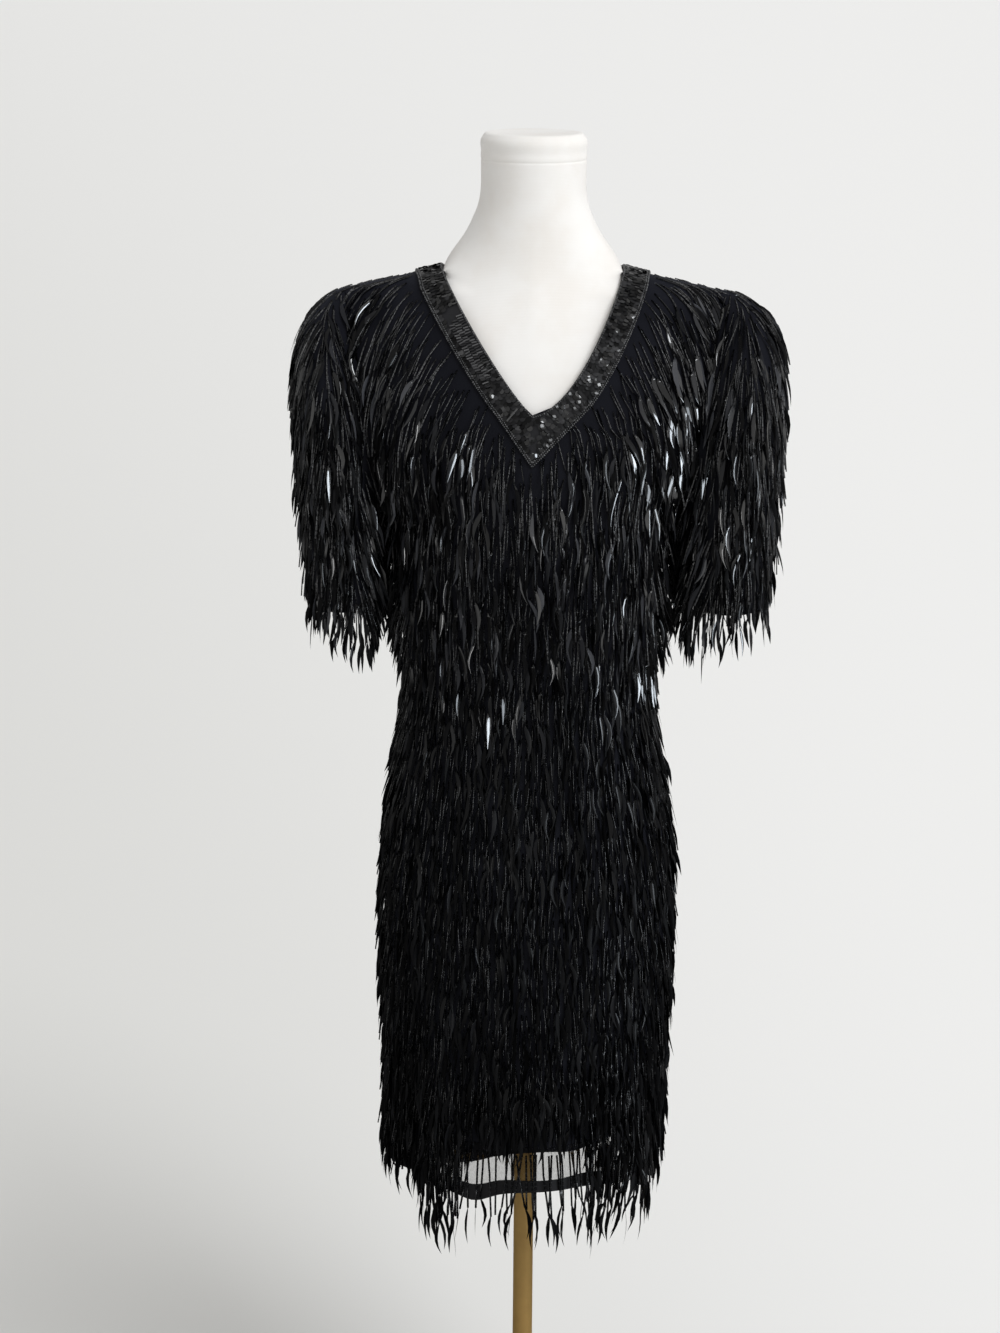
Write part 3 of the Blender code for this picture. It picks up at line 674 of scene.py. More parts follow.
def read_table(table: Sequence[Any], column: str, height: Any) -> Array:
    """Read a column of a table at any height, along a cubic with the rows' mean slopes.

    Args:
        table: rows with a height and the column.
        column: the column's name.
        height: one height or an array of them.

    Returns:
        The values.
    """
    heights = np.array([row.height for row in table])
    values = np.array([getattr(row, column) for row in table])
    slopes = np.gradient(values, heights)
    at = np.clip(height, heights[0], heights[-1])
    row = np.clip(np.searchsorted(heights, at) - 1, 0, len(heights) - 2)
    step = heights[row + 1] - heights[row]
    return cubic(values, slopes, row, (at - heights[row]) / step, step)


def eased(count: int) -> Array:
    """Steps from 0 to 1 that close up towards 1, where the shoulder rolls over."""
    return 1 - (1 - np.linspace(0, 1, count)) ** 1.6


@dataclass(frozen=True)
class BodyShape:
    """The dress's body surface: level sections below the underarm, rolled back above it."""

    squareness: float = 2.2
    hem: float = 0.404
    hem_band: float = 0.015
    seam: float = 0.0004
    underarm: float = 1.166
    chest: float = 1.200
    shoulder_peak: float = 1.412
    shoulder_fall: float = 0.22
    shoulder_roll: float = 2.4
    shoulder_point: float = 0.195
    side: float = 0.150
    neck_point: float = 0.0935
    v_bottom: float = 1.256
    back_neck: float = 1.372
    neck_band: float = 0.028
    band_point: float = 1.9
    wave_top: float = 0.66
    wave_depth: float = 0.007
    waves: int = 8
    v_curve: tuple[float, float] = (0.85, 0.55)
    fine: int = 4
    half_columns: int = 9
    low_rows: int = 3
    high_rows: int = 10
    low_share: float = 0.14
    arm_rows: int = 11
    rise_rows: int = 4
    back_rise_rows: int = 8
    sections: tuple[Section, ...] = (
        Section(0.400, 0.141, 0.119, 0.113, 0.130),
        Section(0.500, 0.147, 0.122, 0.119, 0.135),
        Section(0.600, 0.153, 0.123, 0.126, 0.143),
        Section(0.720, 0.155, 0.119, 0.130, 0.147),
        Section(0.800, 0.150, 0.112, 0.120, 0.144),
        Section(0.880, 0.138, 0.105, 0.103, 0.132),
        Section(0.945, 0.129, 0.101, 0.096, 0.122),
        Section(1.020, 0.135, 0.112, 0.100, 0.128),
        Section(1.100, 0.142, 0.126, 0.105, 0.135),
        Section(1.166, 0.150, 0.128, 0.108, 0.141),
        Section(1.186, 0.168, 0.127, 0.108, 0.145),
        Section(1.207, 0.190, 0.125, 0.108, 0.149),
        Section(1.250, 0.210, 0.120, 0.107, 0.157),
        Section(1.300, 0.215, 0.114, 0.105, 0.166),
        Section(1.400, 0.215, 0.106, 0.103, 0.172),
    )

    def shoulder_line(self, x: Any) -> Array:
        """Height of the shoulder seam at a distance from the centre: it falls evenly outwards."""
        return self.shoulder_peak - self.shoulder_fall * np.abs(x)

    def roll_back(self, x: Array, z: Array, inset: float) -> Array:
        """Share of the chest depth left at a height: a superellipse quarter up to the shoulder."""
        top = self.shoulder_line(x) - inset
        climb = np.clip((z - self.chest) / (top - self.chest), 0, 1)
        return (1 - climb**self.shoulder_roll) ** (1 / self.shoulder_roll)

    def depth(self, x: Array, z: Array, face: Face, inset: float = 0.0) -> Array:
        """How far the surface stands off the middle plane: superellipse section times roll back."""
        across = np.clip(np.abs(x) / (read_table(self.sections, "half_width", z) - inset), 0, 1)
        bulge = (1 - across**self.squareness) ** (1 / self.squareness)
        level = read_table(self.sections, face.word, z) - inset
        return level * bulge * self.roll_back(x, z, inset)

    def wave(self, angle: Array, z: Array) -> Array:
        """Outward swing of the hem waves: two sines round the body that grow towards the hem."""
        grown = np.clip((self.wave_top - z) / (self.wave_top - self.hem), 0, 1) ** 1.4
        uneven = np.sin(self.waves * angle + 0.6) + 0.35 * np.sin((self.waves - 3) * angle + 2.0)
        return self.wave_depth * grown * uneven

    def tube(self, angle: Array, z: Array, off: float = 0.0) -> Array:
        """Points below the underarm: a superellipse in each level section, swung by the wave.

        Args:
            angle: 0 at the front, + towards +X.
            z: height.
            off: distance outwards.

        Returns:
            Points.
        """
        power = 2 / self.squareness
        across = np.sign(np.sin(angle)) * np.abs(np.sin(angle)) ** power
        ahead = np.sign(np.cos(angle)) * np.abs(np.cos(angle)) ** power
        width = read_table(self.sections, "half_width", z)
        reach = np.where(ahead >= 0, read_table(self.sections, "front", z),
                         read_table(self.sections, "back", z))
        out_x = across / width
        out_y = -ahead / reach
        length = np.hypot(out_x, out_y)
        swing = self.wave(angle, z) + off
        return np.stack([width * across + swing * out_x / length,
                         -reach * ahead + swing * out_y / length, z + 0 * angle], axis=-1)

    def armhole(self, share: Array) -> tuple[Array, Array]:
        """Place on the armhole's slanted plane, from the underarm at 0 to the shoulder at 1."""
        x = self.side + (self.shoulder_point - self.side) * share
        z = self.underarm + (self.shoulder_line(self.shoulder_point) - self.underarm) * share
        return x, z

    def skirt_heights(self) -> Array:
        """Heights of the rows from the hem band to the underarm, close near the hem."""
        start = self.hem + self.hem_band + self.seam
        low = np.linspace(0, self.low_share, self.low_rows * self.fine + 1)[:-1]
        high = np.linspace(self.low_share, 1, self.high_rows * self.fine + 1)
        return start + (self.underarm - start) * np.concatenate([low, high])

    def centre_rows(self, rise: int) -> int:
        """Rows of a half panel up to its neck's edge, some coarse rows above the underarm."""
        return (self.low_rows + self.high_rows + rise) * self.fine

    def front_edge(self, side: Side) -> tuple[Array, Array]:
        """Inner edge of a front half: up the centre, then along the V, a power of the climb."""
        up = np.linspace(0, 1, self.rise_rows * self.fine + 1)
        climb = eased((self.arm_rows - self.rise_rows) * self.fine + 1)[1:]
        top = self.shoulder_line(self.neck_point)
        power = self.v_curve[0 if side is Side.LEFT else 1]
        x = np.concatenate([0 * up, self.neck_point * climb**power])
        z = np.concatenate([self.underarm + (self.v_bottom - self.underarm) * up,
                            self.v_bottom + (top - self.v_bottom) * climb])
        return x, z

    def back_edge(self) -> tuple[Array, Array]:
        """Inner edge of a back half: up the centre seam, then a quarter ellipse round the neck."""
        up = eased(self.back_rise_rows * self.fine + 1)
        steps = (self.arm_rows - self.back_rise_rows) * self.fine
        turn = np.linspace(0, math.pi / 2, steps + 1)[1:]
        top = self.shoulder_line(self.neck_point)
        x = np.concatenate([0 * up, self.neck_point * np.sin(turn)])
        z = np.concatenate([self.underarm + (self.back_neck - self.underarm) * up,
                            top - (top - self.back_neck) * np.cos(turn)])
        return x, z

    def half_panel(self, side: Side, face: Face) -> Array:
        """Outer points of half a front or back: level rows, then rows from the edge to the armhole.

        Args:
            side: which half.
            face: front or back.

        Returns:
            Grid of points, hem first, centre first.
        """
        turn = np.linspace(0, math.pi / 2, self.half_columns * self.fine + 1)
        angles = side.value * (turn if face is Face.FRONT else math.pi - turn)
        heights = self.skirt_heights()[:-1]
        skirt = self.tube(angles[None, :], heights[:, None])
        edge_x, edge_z = self.front_edge(side) if face is Face.FRONT else self.back_edge()
        share = (1 + np.cos(np.linspace(math.pi, 0, self.arm_rows * self.fine + 1))) / 2
        high_x, high_z = self.armhole(share)
        spread = np.sin(turn) ** (2 / self.squareness)
        even = np.linspace(0, 1, len(turn))
        mix = spread + (even - spread) * np.minimum(1.0, share * 2.5)[:, None]
        x = edge_x[:, None] + (high_x - edge_x)[:, None] * mix
        z = edge_z[:, None] + (high_z - edge_z)[:, None] * mix
        upper = np.stack([side.value * x, face.value * self.depth(x, z, face), z], axis=-1)
        grid = np.concatenate([skirt, upper])
        grid[:len(heights) + 1, -1, 1] = 0
        grid[-1, :, 1] = 0
        grid[:, :, 1] += face.value * self.seam / 2
        return grid


@dataclass(frozen=True)
class SleeveShape:
    """A short wide sleeve: rings that turn from the slanted armhole down to a level cuff."""

    reach: tuple[float, float] = (-0.003, 0.009)
    slope: tuple[float, float] = (-0.007, 0.0)
    taper: tuple[float, float] = (-0.012, -0.004)
    rings: tuple[Ring, ...] = (
        Ring(0.2070, 1.3670, 0.1570, 1.1560, 0.082, 0.078),
        Ring(0.2220, 1.3590, 0.1620, 1.1380, 0.090, 0.086),
        Ring(0.2380, 1.3420, 0.1640, 1.1160, 0.094, 0.090),
        Ring(0.2490, 1.3120, 0.1650, 1.0960, 0.094, 0.090),
        Ring(0.2530, 1.2550, 0.1660, 1.0760, 0.092, 0.088),
        Ring(0.2520, 1.1900, 0.1665, 1.0620, 0.090, 0.086),
        Ring(0.2490, 1.1200, 0.1670, 1.0500, 0.088, 0.085),
        Ring(0.2450, 1.0410, 0.1675, 1.0410, 0.086, 0.083),
    )
    root_gap: float = 0.0007
    flatness: float = 0.85
    root_rings: float = 2.5
    columns: int = 44
    fine: int = 4

    def coarse(self, body: BodyShape, side: Side) -> Array:
        """The table's own rings, the armhole's loop first.

        Args:
            body: the surface that the armhole lies on.
            side: which sleeve.

        Returns:
            Points, ring by ring.
        """
        pick = 0 if side is Side.LEFT else 1
        half = math.pi * np.arange(self.columns + 1) / self.columns
        share = (1 + np.cos(half)) / 2
        x, z = body.armhole(share)
        front = body.depth(x, z, Face.FRONT)
        back = body.depth(x, z, Face.BACK)
        front[[0, -1]] = 0
        back[[0, -1]] = 0
        whole = np.concatenate([share, share[-2:0:-1]])
        loop_x, loop_z = body.armhole(whole)
        loop_y = np.concatenate([-front, back[-2:0:-1]])
        rings = [np.stack([side.value * (loop_x + self.root_gap), loop_y, loop_z], axis=-1)]
        turn = np.concatenate([half, 2 * math.pi - half[-2:0:-1]])
        for number, row in enumerate(self.rings):
            reach = self.reach[pick] * min(1.0, (number + 1) / 4)
            reach += self.taper[pick] * (number / (len(self.rings) - 1)) ** 1.5
            top_x = row.top_x + reach
            top_z = row.top_z + self.slope[pick] * min(1.0, (number + 1) / 3)
            if number == len(self.rings) - 1:
                top_z = row.low_z
            middle_x, middle_z = (top_x + row.low_x) / 2, (top_z + row.low_z) / 2
            wide = np.where(np.sin(turn) >= 0, row.front, row.back)
            oval = -wide * np.sign(np.sin(turn)) * np.abs(np.sin(turn)) ** self.flatness
            keep = max(0.0, 1 - (number + 1) / self.root_rings)
            rings.append(np.stack([side.value * (middle_x + (top_x - middle_x) * np.cos(turn)),
                                   oval + (loop_y - oval) * keep,
                                   middle_z + (top_z - middle_z) * np.cos(turn)], axis=-1))
        return np.stack(rings)

    def grid(self, body: BodyShape, side: Side) -> Array:
        """Finer rings: a cubic through the coarse ones with their mean slopes."""
        rings = self.coarse(body, side)
        slopes = np.gradient(rings, axis=0)
        places = np.linspace(0, len(rings) - 1, (len(rings) - 1) * self.fine + 1)
        low = np.minimum(places.astype(int), len(rings) - 2)
        return cubic(rings, slopes, low, (places - low)[:, None, None])


# Cloth


Sag = namedtuple("Sag", "x width drop")
Wave = namedtuple("Wave", "depth count turn")


@dataclass
class Cloth:
    """The sewn cloth under the fringe: front, backs, sleeves, lining and hem band."""

    body: BodyShape
    sleeve: SleeveShape
    wall: float = 0.0009
    lining_edge: float = 0.447
    lining_top: float = 0.66
    lining_hang: float = 0.0035
    lining_fade: float = 0.05
    hem_wall: float = 0.0022
    droop_top: float = 0.52
    sags: tuple[Sag, ...] = (Sag(0.025, 0.045, -0.003), Sag(-0.054, 0.022, 0.010))
    hem_waves: tuple[Wave, ...] = (Wave(0.0022, 7, 0.8), Wave(0.0012, 3, 0.0))
    lining_waves: tuple[Wave, ...] = (Wave(0.0045, 6, 2.4), Wave(0.0022, 11, 0.0),
                                      Wave(0.018, 1, 0.0))

    def build(self) -> None:
        """Make each piece, ride it, and hide the solid that it stands for."""
        outer = Georgette().build(sheer=True)
        plain = PlainCloth().build()
        halves = []
        shared = self.body.centre_rows(self.body.rise_rows)
        for side in Side:
            grid = self._droop(self.body.half_panel(side, Face.FRONT))
            inward = self._inward(grid, side is Side.LEFT, shared)
            halves.append(shell(grid, self.wall, flip=side is Side.LEFT, open_first=shared,
                                inward=inward))
        front = put_mesh("front_cloth", *join(halves), outer)
        weld(front)
        self._state(front, "front_panel")
        for side in Side:
            grid = self.body.half_panel(side, Face.BACK)
            rise = self.body.centre_rows(self.body.back_rise_rows)
            grid[:rise, 0, 0] = side.value * self.body.seam / 2
            inward = self._inward(grid, side is Side.RIGHT, rise)
            back = put_mesh("back_cloth_" + side.word,
                            *shell(grid, self.wall, flip=side is Side.RIGHT, inward=inward), outer)
            self._state(back, "back_panel_" + side.word)
        for side in Side:
            rings = self.sleeve.grid(self.body, side)
            flip = side is Side.LEFT
            made = put_mesh("sleeve_cloth_" + side.word,
                            *shell(rings, self.wall, closed=True, flip=flip), outer)
            self._state(made, "sleeve_" + side.word)
        self._edges(plain)

    def _droop(self, grid: Array) -> Array:
        """Let the front of the hem sag in one place and lift beside it, more towards the edge."""
        x, y, z = grid[..., 0], grid[..., 1], grid[..., 2]
        lift, fall = [sag.drop * np.exp(-((x - sag.x) / sag.width) ** 2) for sag in self.sags]
        share = fade_in(z, self.droop_top, -(self.droop_top - self.body.hem - self.body.hem_band))
        moved = grid.copy()
        moved[..., 2] -= (lift + fall) * share * fade_in(y, 0, -0.03)
        return moved

    def _inward(self, grid: Array, flip: bool, centre: int) -> Array:
        """Outward directions of a panel, kept in the seam planes along its seams."""
        normals = Patch(grid, False, flip).normals.copy()
        skirt = len(self.body.skirt_heights())
        normals[:skirt, -1, 1:] = 0
        normals[-1, :, :2] = 0
        normals[0, :, 2] = 0
        normals[:centre, 0, 0] = 0
        return unit(normals)

    def _edges(self, plain: bpy.types.Material) -> None:
        """Hem band under the outer cloth, and the lining that ends in waves above it."""
        angles = np.linspace(0, 2 * math.pi, 144, endpoint=False)

        def swing(waves: Sequence[Wave]) -> Array:
            """Sum of sines round the body."""
            return sum(wave.depth * np.sin(wave.count * angles + wave.turn) for wave in waves)

        heights = np.linspace(self.body.hem, self.body.hem + self.body.hem_band, 6)
        share = ((heights[-1] - heights) / self.body.hem_band)[:, None]
        grid = self.body.tube(angles[None, :], heights[:, None] + 0 * angles)
        grid[..., 2] += swing(self.hem_waves) * share
        made = put_mesh("hem_band_cloth",
                        *shell(self._droop(grid), self.hem_wall, closed=True), plain)
        self._state(made, "hem_band")
        heights = np.linspace(self.lining_edge, self.lining_top, 30)
        hang = np.linspace(self.lining_hang, 0.0008, 30) + self.wall + 0.0008
        share = fade_in(heights, self.lining_edge + self.lining_fade, -self.lining_fade)[:, None]
        lift = heights[:, None] + share * swing(self.lining_waves)
        grid = np.stack([self.body.tube(angles, row, -away) for row, away in zip(lift, hang)])
        made = put_mesh("lining_cloth_skirt", *shell(self._droop(grid), self.wall, closed=True),
                        plain)
        self._state(made, "lining")

    def _state(self, made: bpy.types.Object, node: str) -> None:
        """Ride a cloth piece, hide the solid that it stands for, and log its faces."""
        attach(made, BODY)
        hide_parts(node)
        log.info("%s: %d faces", made.name, len(made.data.polygons))


# Fringe


Flash = namedtuple("Flash", "x z radius share")
Zone = namedtuple("Zone", "bottom top word")
Pose = namedtuple("Pose", "yaw bow lean pitch tone shine lustre flash")


@dataclass
class Strands:
    """Many strands as arrays: one row each for root place, lengths and manner."""

    row: Array
    column: Array
    string: Array
    leaf: Array
    lift: Array
    fan: Array

    def __len__(self) -> int:
        """Count of strands."""
        return len(self.row)

    def keep(self, mask: Array) -> "Strands":
        """The strands where the mask is true."""
        return Strands(*[getattr(self, part.name)[mask] for part in fields(self)])

    def plus(self, other: "Strands") -> "Strands":
        """These strands and the others."""
        return Strands(*[np.concatenate([getattr(self, part.name), getattr(other, part.name)])
                         for part in fields(self)])

    def turn(self, columns: int) -> Array:
        """Angle of each root on a ring of so many columns."""
        return self.column / columns * 2 * math.pi


@dataclass
class Lines:
    """The strands' middle lines: places in equal steps, with outward directions."""

    points: Array
    outs: Array

    def read(self, share: Array) -> tuple[Array, Array, Array, Array]:
        """Read each line at its own share of the way down.

        Args:
            share: from 0 at the root to 1 at the tip, one for each line.

        Returns:
            Places, and unit directions ahead, outwards and sideways.
        """
        count, steps = self.points.shape[:2]
        place = np.clip(share, 0, 1) * (steps - 1)
        low = np.minimum(place.astype(int), steps - 2)
        part = (place - low)[:, None]
        who = np.arange(count)
        here = self.points[who, low] * (1 - part) + self.points[who, low + 1] * part
        ahead = unit(self.points[who, low + 1] - self.points[who, low])
        out = self.outs[who, low]
        out = unit(out - np.sum(out * ahead, axis=-1, keepdims=True) * ahead)
        return here, ahead, out, np.cross(ahead, out)


@dataclass
class Fringe:
    """Overlapping rows of beaded strands over a surface."""

    body: BodyShape
    sleeve: SleeveShape
    seed: int = 1986
    pitch_down: float = 0.0180
    pitch_across: float = 0.0056
    steps: int = 9
    string_length: float = 0.021
    string_radius: float = 0.00085
    string_rings: int = 4
    thick_below: float = 0.475
    thicker: float = 0.5
    leaf_length: float = 0.037
    leaf_width: float = 0.0043
    leaf_bow: float = 0.170
    leaf_arc: float = 0.92
    leaf_profile: tuple[tuple[float, float], ...] = (
        (0.00, 0.26), (0.14, 0.74), (0.34, 1.00), (0.56, 0.84), (0.76, 0.48), (0.91, 0.19))
    plain_share: float = 0.24
    plain_leaf: float = 0.004
    edge_on: float = 0.42
    edge_yaw: float = 1.15
    root_off: float = 0.0010
    lift_mean: float = 0.0062
    sway: float = 0.05
    curl: float = 0.06
    # painted light from above: strands lower down get a darker colour and less gloss; these give
    # the lowest share and the height where it starts to lighten
    lustre_low: float = 0.32
    lustre_from: float = 0.88
    flash_turn: float = 0.42
    flash_width: float = 1.45
    flashes: tuple[Flash, ...] = (
        Flash(-0.066, 1.205, 0.018, 0.90), Flash(0.125, 1.310, 0.030, 0.36),
        Flash(0.150, 1.260, 0.036, 0.52), Flash(0.140, 1.190, 0.042, 0.26),
        Flash(0.090, 1.150, 0.030, 0.12), Flash(-0.045, 0.935, 0.030, 0.16),
        Flash(0.225, 1.200, 0.022, 0.18), Flash(-0.205, 1.165, 0.016, 0.05),
        Flash(0.122, 0.955, 0.028, 0.22), Flash(-0.120, 1.100, 0.030, 0.10),
        Flash(0.205, 1.275, 0.035, 0.34))
    skirt_passes: tuple[tuple[float, float], ...] = ((1.166, 0.428), (0.560, 0.440))
    zones: tuple[Zone, ...] = (
        Zone(1.085, 2.0, "chest"), Zone(0.980, 1.085, "ribs"), Zone(0.875, 0.980, "waist"),
        Zone(0.760, 0.875, "hips"), Zone(0.6375, 0.760, "seat"), Zone(0.5135, 0.6375, "thigh"),
        Zone(0.0, 0.5135, "hem"))
    gap_top: float = 0.500
    gap_side: float = 0.48
    hem_count: int = 420
    hem_root: float = 0.452
    hem_string: float = 0.072
    hem_side: float = 0.45
    cuff_count: int = 150
    cuff_rows: tuple[float, ...] = (7.35, 7.7, 7.92)

    def __post_init__(self) -> None:
        """Start the seeded draws."""
        self.rng = np.random.default_rng(self.seed)
        self.count = 0

    def scatter(self, patch: Patch, first: float, last: float) -> Strands:
        """Roots in rows over a patch, evenly spaced along each row, thinned where rows crowd.

        Args:
            patch: the surface.
            first: grid row where the strands start.
            last: grid row where they end.

        Returns:
            The strands, with lengths and lifts drawn for each.
        """
        rng = self.rng
        columns = patch.points.shape[1]
        fine = np.linspace(0, columns if patch.closed else columns - 1, 4 * columns)
        span = np.linspace(first, last, 60)
        steep = [patch.read(np.full(len(fine), at), fine)[2] for at in span]
        longest = np.max(np.sum(np.linalg.norm(steep, axis=-1), axis=0)) * abs(span[1] - span[0])
        lines = max(2, int(round(longest / self.pitch_down)))
        step = (last - first) / lines
        rows, places = [], []
        for number in range(lines):
            at = first + (number + 0.5) * step
            arc = arc_length(patch.read(np.full(len(fine), at), fine)[0])
            total = arc[-1]
            count = max(1, int(total / self.pitch_across))
            spread = np.arange(count) + rng.uniform(0, 1) + rng.normal(0, 0.22, count)
            column = np.interp(np.clip(spread * total / count, 0, total), arc, fine)
            row = at + rng.normal(0, 0.10, count) * step
            local = np.linalg.norm(patch.read(row, column)[2], axis=-1) * abs(step)
            kept = rng.uniform(0, 1, count) < local / self.pitch_down
            rows.append(row[kept])
            places.append(column[kept])
        row, column = np.concatenate(rows), np.concatenate(places)
        count = len(row)
        leaf = self.leaf_length * rng.uniform(0.82, 1.12, count)
        plain = rng.uniform(0, 1, count) < self.plain_share
        return Strands(row, column,
                       self.string_length * rng.uniform(0.75, 1.30, count) + 0.8 * leaf * plain,
                       np.where(plain, self.plain_leaf, leaf),
                       self.lift_mean * rng.uniform(0.45, 1.75, count),
                       np.zeros(count))

    def hang(self, patch: Patch, strands: Strands) -> Lines:
        """Lay each strand down the surface in equal steps.

        Each step follows gravity and the strand's fan. The pull along the surface moves its
        foot there, the pull away lifts it off, and pressed on, it slides at its own small lift.

        Args:
            patch: the surface.
            strands: where they start, and how.

        Returns:
            Their middle lines.
        """
        rng = self.rng
        count = len(strands)
        row, column = strands.row.copy(), strands.column.copy()
        off = np.full(count, self.root_off)
        sway = rng.normal(0, self.sway, (count, 3)) * (1, 1, 0)
        curl = rng.normal(0, self.curl, (count, 3)) * (1, 1, 0)
        points, outs = [], []
        last = self.steps - 1
        ds = (strands.string + strands.leaf) / last
        for step in range(self.steps):
            place, normal, down, along = patch.read(row, column)
            points.append(place + off[:, None] * normal)
            outs.append(normal)
            pull = np.zeros((count, 3))
            pull[:, 2] = -1
            pull[:, 0] = strands.fan
            pull = unit(pull + sway + curl * math.sin(math.pi * (step / last) * 1.3))
            away = np.sum(pull * normal, axis=-1)
            slide = pull - away[:, None] * normal
            low = self.root_off + strands.lift * ((step + 1) / last) ** 0.8 * (
                1 - 0.8 * np.clip(-away, 0, 1))
            new_off = off + ds * away
            pressed = new_off < low
            slide = np.where(pressed[:, None], unit(slide), slide)
            off = np.where(pressed, np.minimum(low, off + 0.35 * ds), new_off)
            dd = np.sum(down * down, axis=-1)
            aa = np.sum(along * along, axis=-1)
            da = np.sum(down * along, axis=-1)
            sd = np.sum(slide * down, axis=-1)
            sa = np.sum(slide * along, axis=-1)
            det = np.maximum(dd * aa - da * da, 1e-14)
            row = row + ds * (sd * aa - sa * da) / det
            column = column + ds * (sa * dd - sd * da) / det
        return Lines(np.stack(points, axis=1), np.stack(outs, axis=1))

    def mesh(self, lines: Lines, strands: Strands, bare: float,
             name: str) -> tuple[Array, list[Array], dict[str, Array]]:
        """Sweep a bead string and then a curved leaf along each strand.

        Args:
            lines: the strands' middle lines.
            strands: their lengths.
            bare: share of strands that end without a leaf.
            name: for the log.

        Returns:
            Points, faces and the values kept on them.
        """
        count = len(strands)
        cut = strands.string / (strands.string + strands.leaf)
        pose = self._pose(lines, cut)
        strings, sides = self._strings(lines, cut)
        leafed = (self.rng.uniform(0, 1, count) >= bare) & (strands.leaf > 0.01)
        leaves, blades = self._leaves(lines, strands, cut, pose, leafed)
        points, faces = join([(strings, sides), (leaves, blades)])
        down = strands.string[:, None] * np.linspace(0, 1, self.string_rings)[None]
        per_string = 3 * self.string_rings
        per_leaf = 4 * len(self.leaf_profile) + 1
        # painted light: each strand's own random tone is darkened lower down by the painted height
        # light
        string_tone_and_light = pose.tone * pose.lustre**2
        leaf_tone_and_light = (pose.tone**3.0 * (pose.lustre - 0.18))[leafed]
        self.count += count
        log.info("%s: %d strands, %d leaves", name, count, len(leaf_tone_and_light))
        return points, faces, {
            "tone": np.concatenate([np.repeat(string_tone_and_light, per_string),
                                    np.repeat(leaf_tone_and_light, per_leaf)]),
            "shine": np.concatenate([np.repeat(pose.shine, per_string),
                                     np.repeat(pose.shine[leafed], per_leaf)]),
            "along": np.concatenate([np.repeat(down, 3, axis=1).ravel(), np.zeros(len(leaves))])}

    def _pose(self, lines: Lines, cut: Array) -> Pose:
        """Draw how the leaves are turned; those in a bright spot face the window's light.

        Args:
            lines: the strands' middle lines.
            cut: share of each line where its leaf starts.

        Returns:
            The draws.
        """
        rng, count = self.rng, len(cut)
        edge_on = rng.uniform(0, 1, count) < self.edge_on
        yaw = np.where(edge_on, rng.choice([-self.edge_yaw, self.edge_yaw], count), 0)
        yaw = yaw + rng.normal(0, 0.32, count)
        bow = rng.choice([-1.0, 1.0], count) * rng.uniform(0.25, 1.15, count)
        lean = rng.normal(0, 0.07, count)
        pitch = rng.normal(-0.01, 0.05, count)
        tone = rng.uniform(0, 1, count) ** 1.6
        middle = lines.points[:, self.steps // 2, 2]
        # painted light from above: lighter colour and more gloss higher up, darker and duller lower
        # down
        lustre = self.lustre_low + (1 - self.lustre_low) * fade_in(middle, self.lustre_from, 0.14)
        shine = rng.uniform(0, 1, count) ** 2.0 * lustre
        flash = self._flashing(lines.points)
        shine[flash] = rng.uniform(0.50, 1.0, int(flash.sum()))
        _, _, out, side = lines.read(cut + (1 - cut) * 0.4)
        facing = np.array([math.sin(self.flash_turn), -math.cos(self.flash_turn), 0.0])
        toward = np.arctan2(-side @ facing, out @ facing) + rng.normal(0, 0.08, count)
        return Pose(np.where(flash, toward, yaw), np.where(flash, 0.5 * bow, bow), lean,
                    np.where(flash, 0.0, pitch), tone, shine, lustre, flash)

    def _flashing(self, points: Array) -> Array:
        """Which strands are turned to throw the window's light at the camera."""
        middle = points[:, -3]
        found = np.zeros(len(points), bool)
        for spot in self.flashes:
            near = np.hypot(middle[:, 0] - spot.x, middle[:, 2] - spot.z) < spot.radius
            found |= near & (middle[:, 1] < 0) & (self.rng.uniform(0, 1, len(points)) < spot.share)
        return found

    def _strings(self, lines: Lines, cut: Array) -> tuple[Array, list[Array]]:
        """Three-sided tubes for the bead strings, thicker where they hang over the hem.

        Args:
            lines: the strands' middle lines.
            cut: share of each line where its string ends.

        Returns:
            Points and faces.
        """
        rings = self.string_rings
        turn = np.array([math.pi / 2, math.pi * 7 / 6, math.pi * 11 / 6])
        thick = fade_in(lines.points[:, 0, 2], self.thick_below, -0.02)
        radius = self.string_radius * (1 + self.thicker * thick)
        tube = []
        for number in range(rings):
            here, _, out, side = lines.read(cut * number / (rings - 1))
            tube.append(here[:, None] + radius[:, None, None] * circles(turn, side, out))
        per = 3 * rings
        sides = (grid_quads(rings, 3, True), np.array([[0, 1, 2], [per - 1, per - 2, per - 3]]))
        return np.stack(tube, axis=1).reshape(-1, 3), [
            repeat_faces(part, len(cut), per)[:, ::-1] for part in sides]

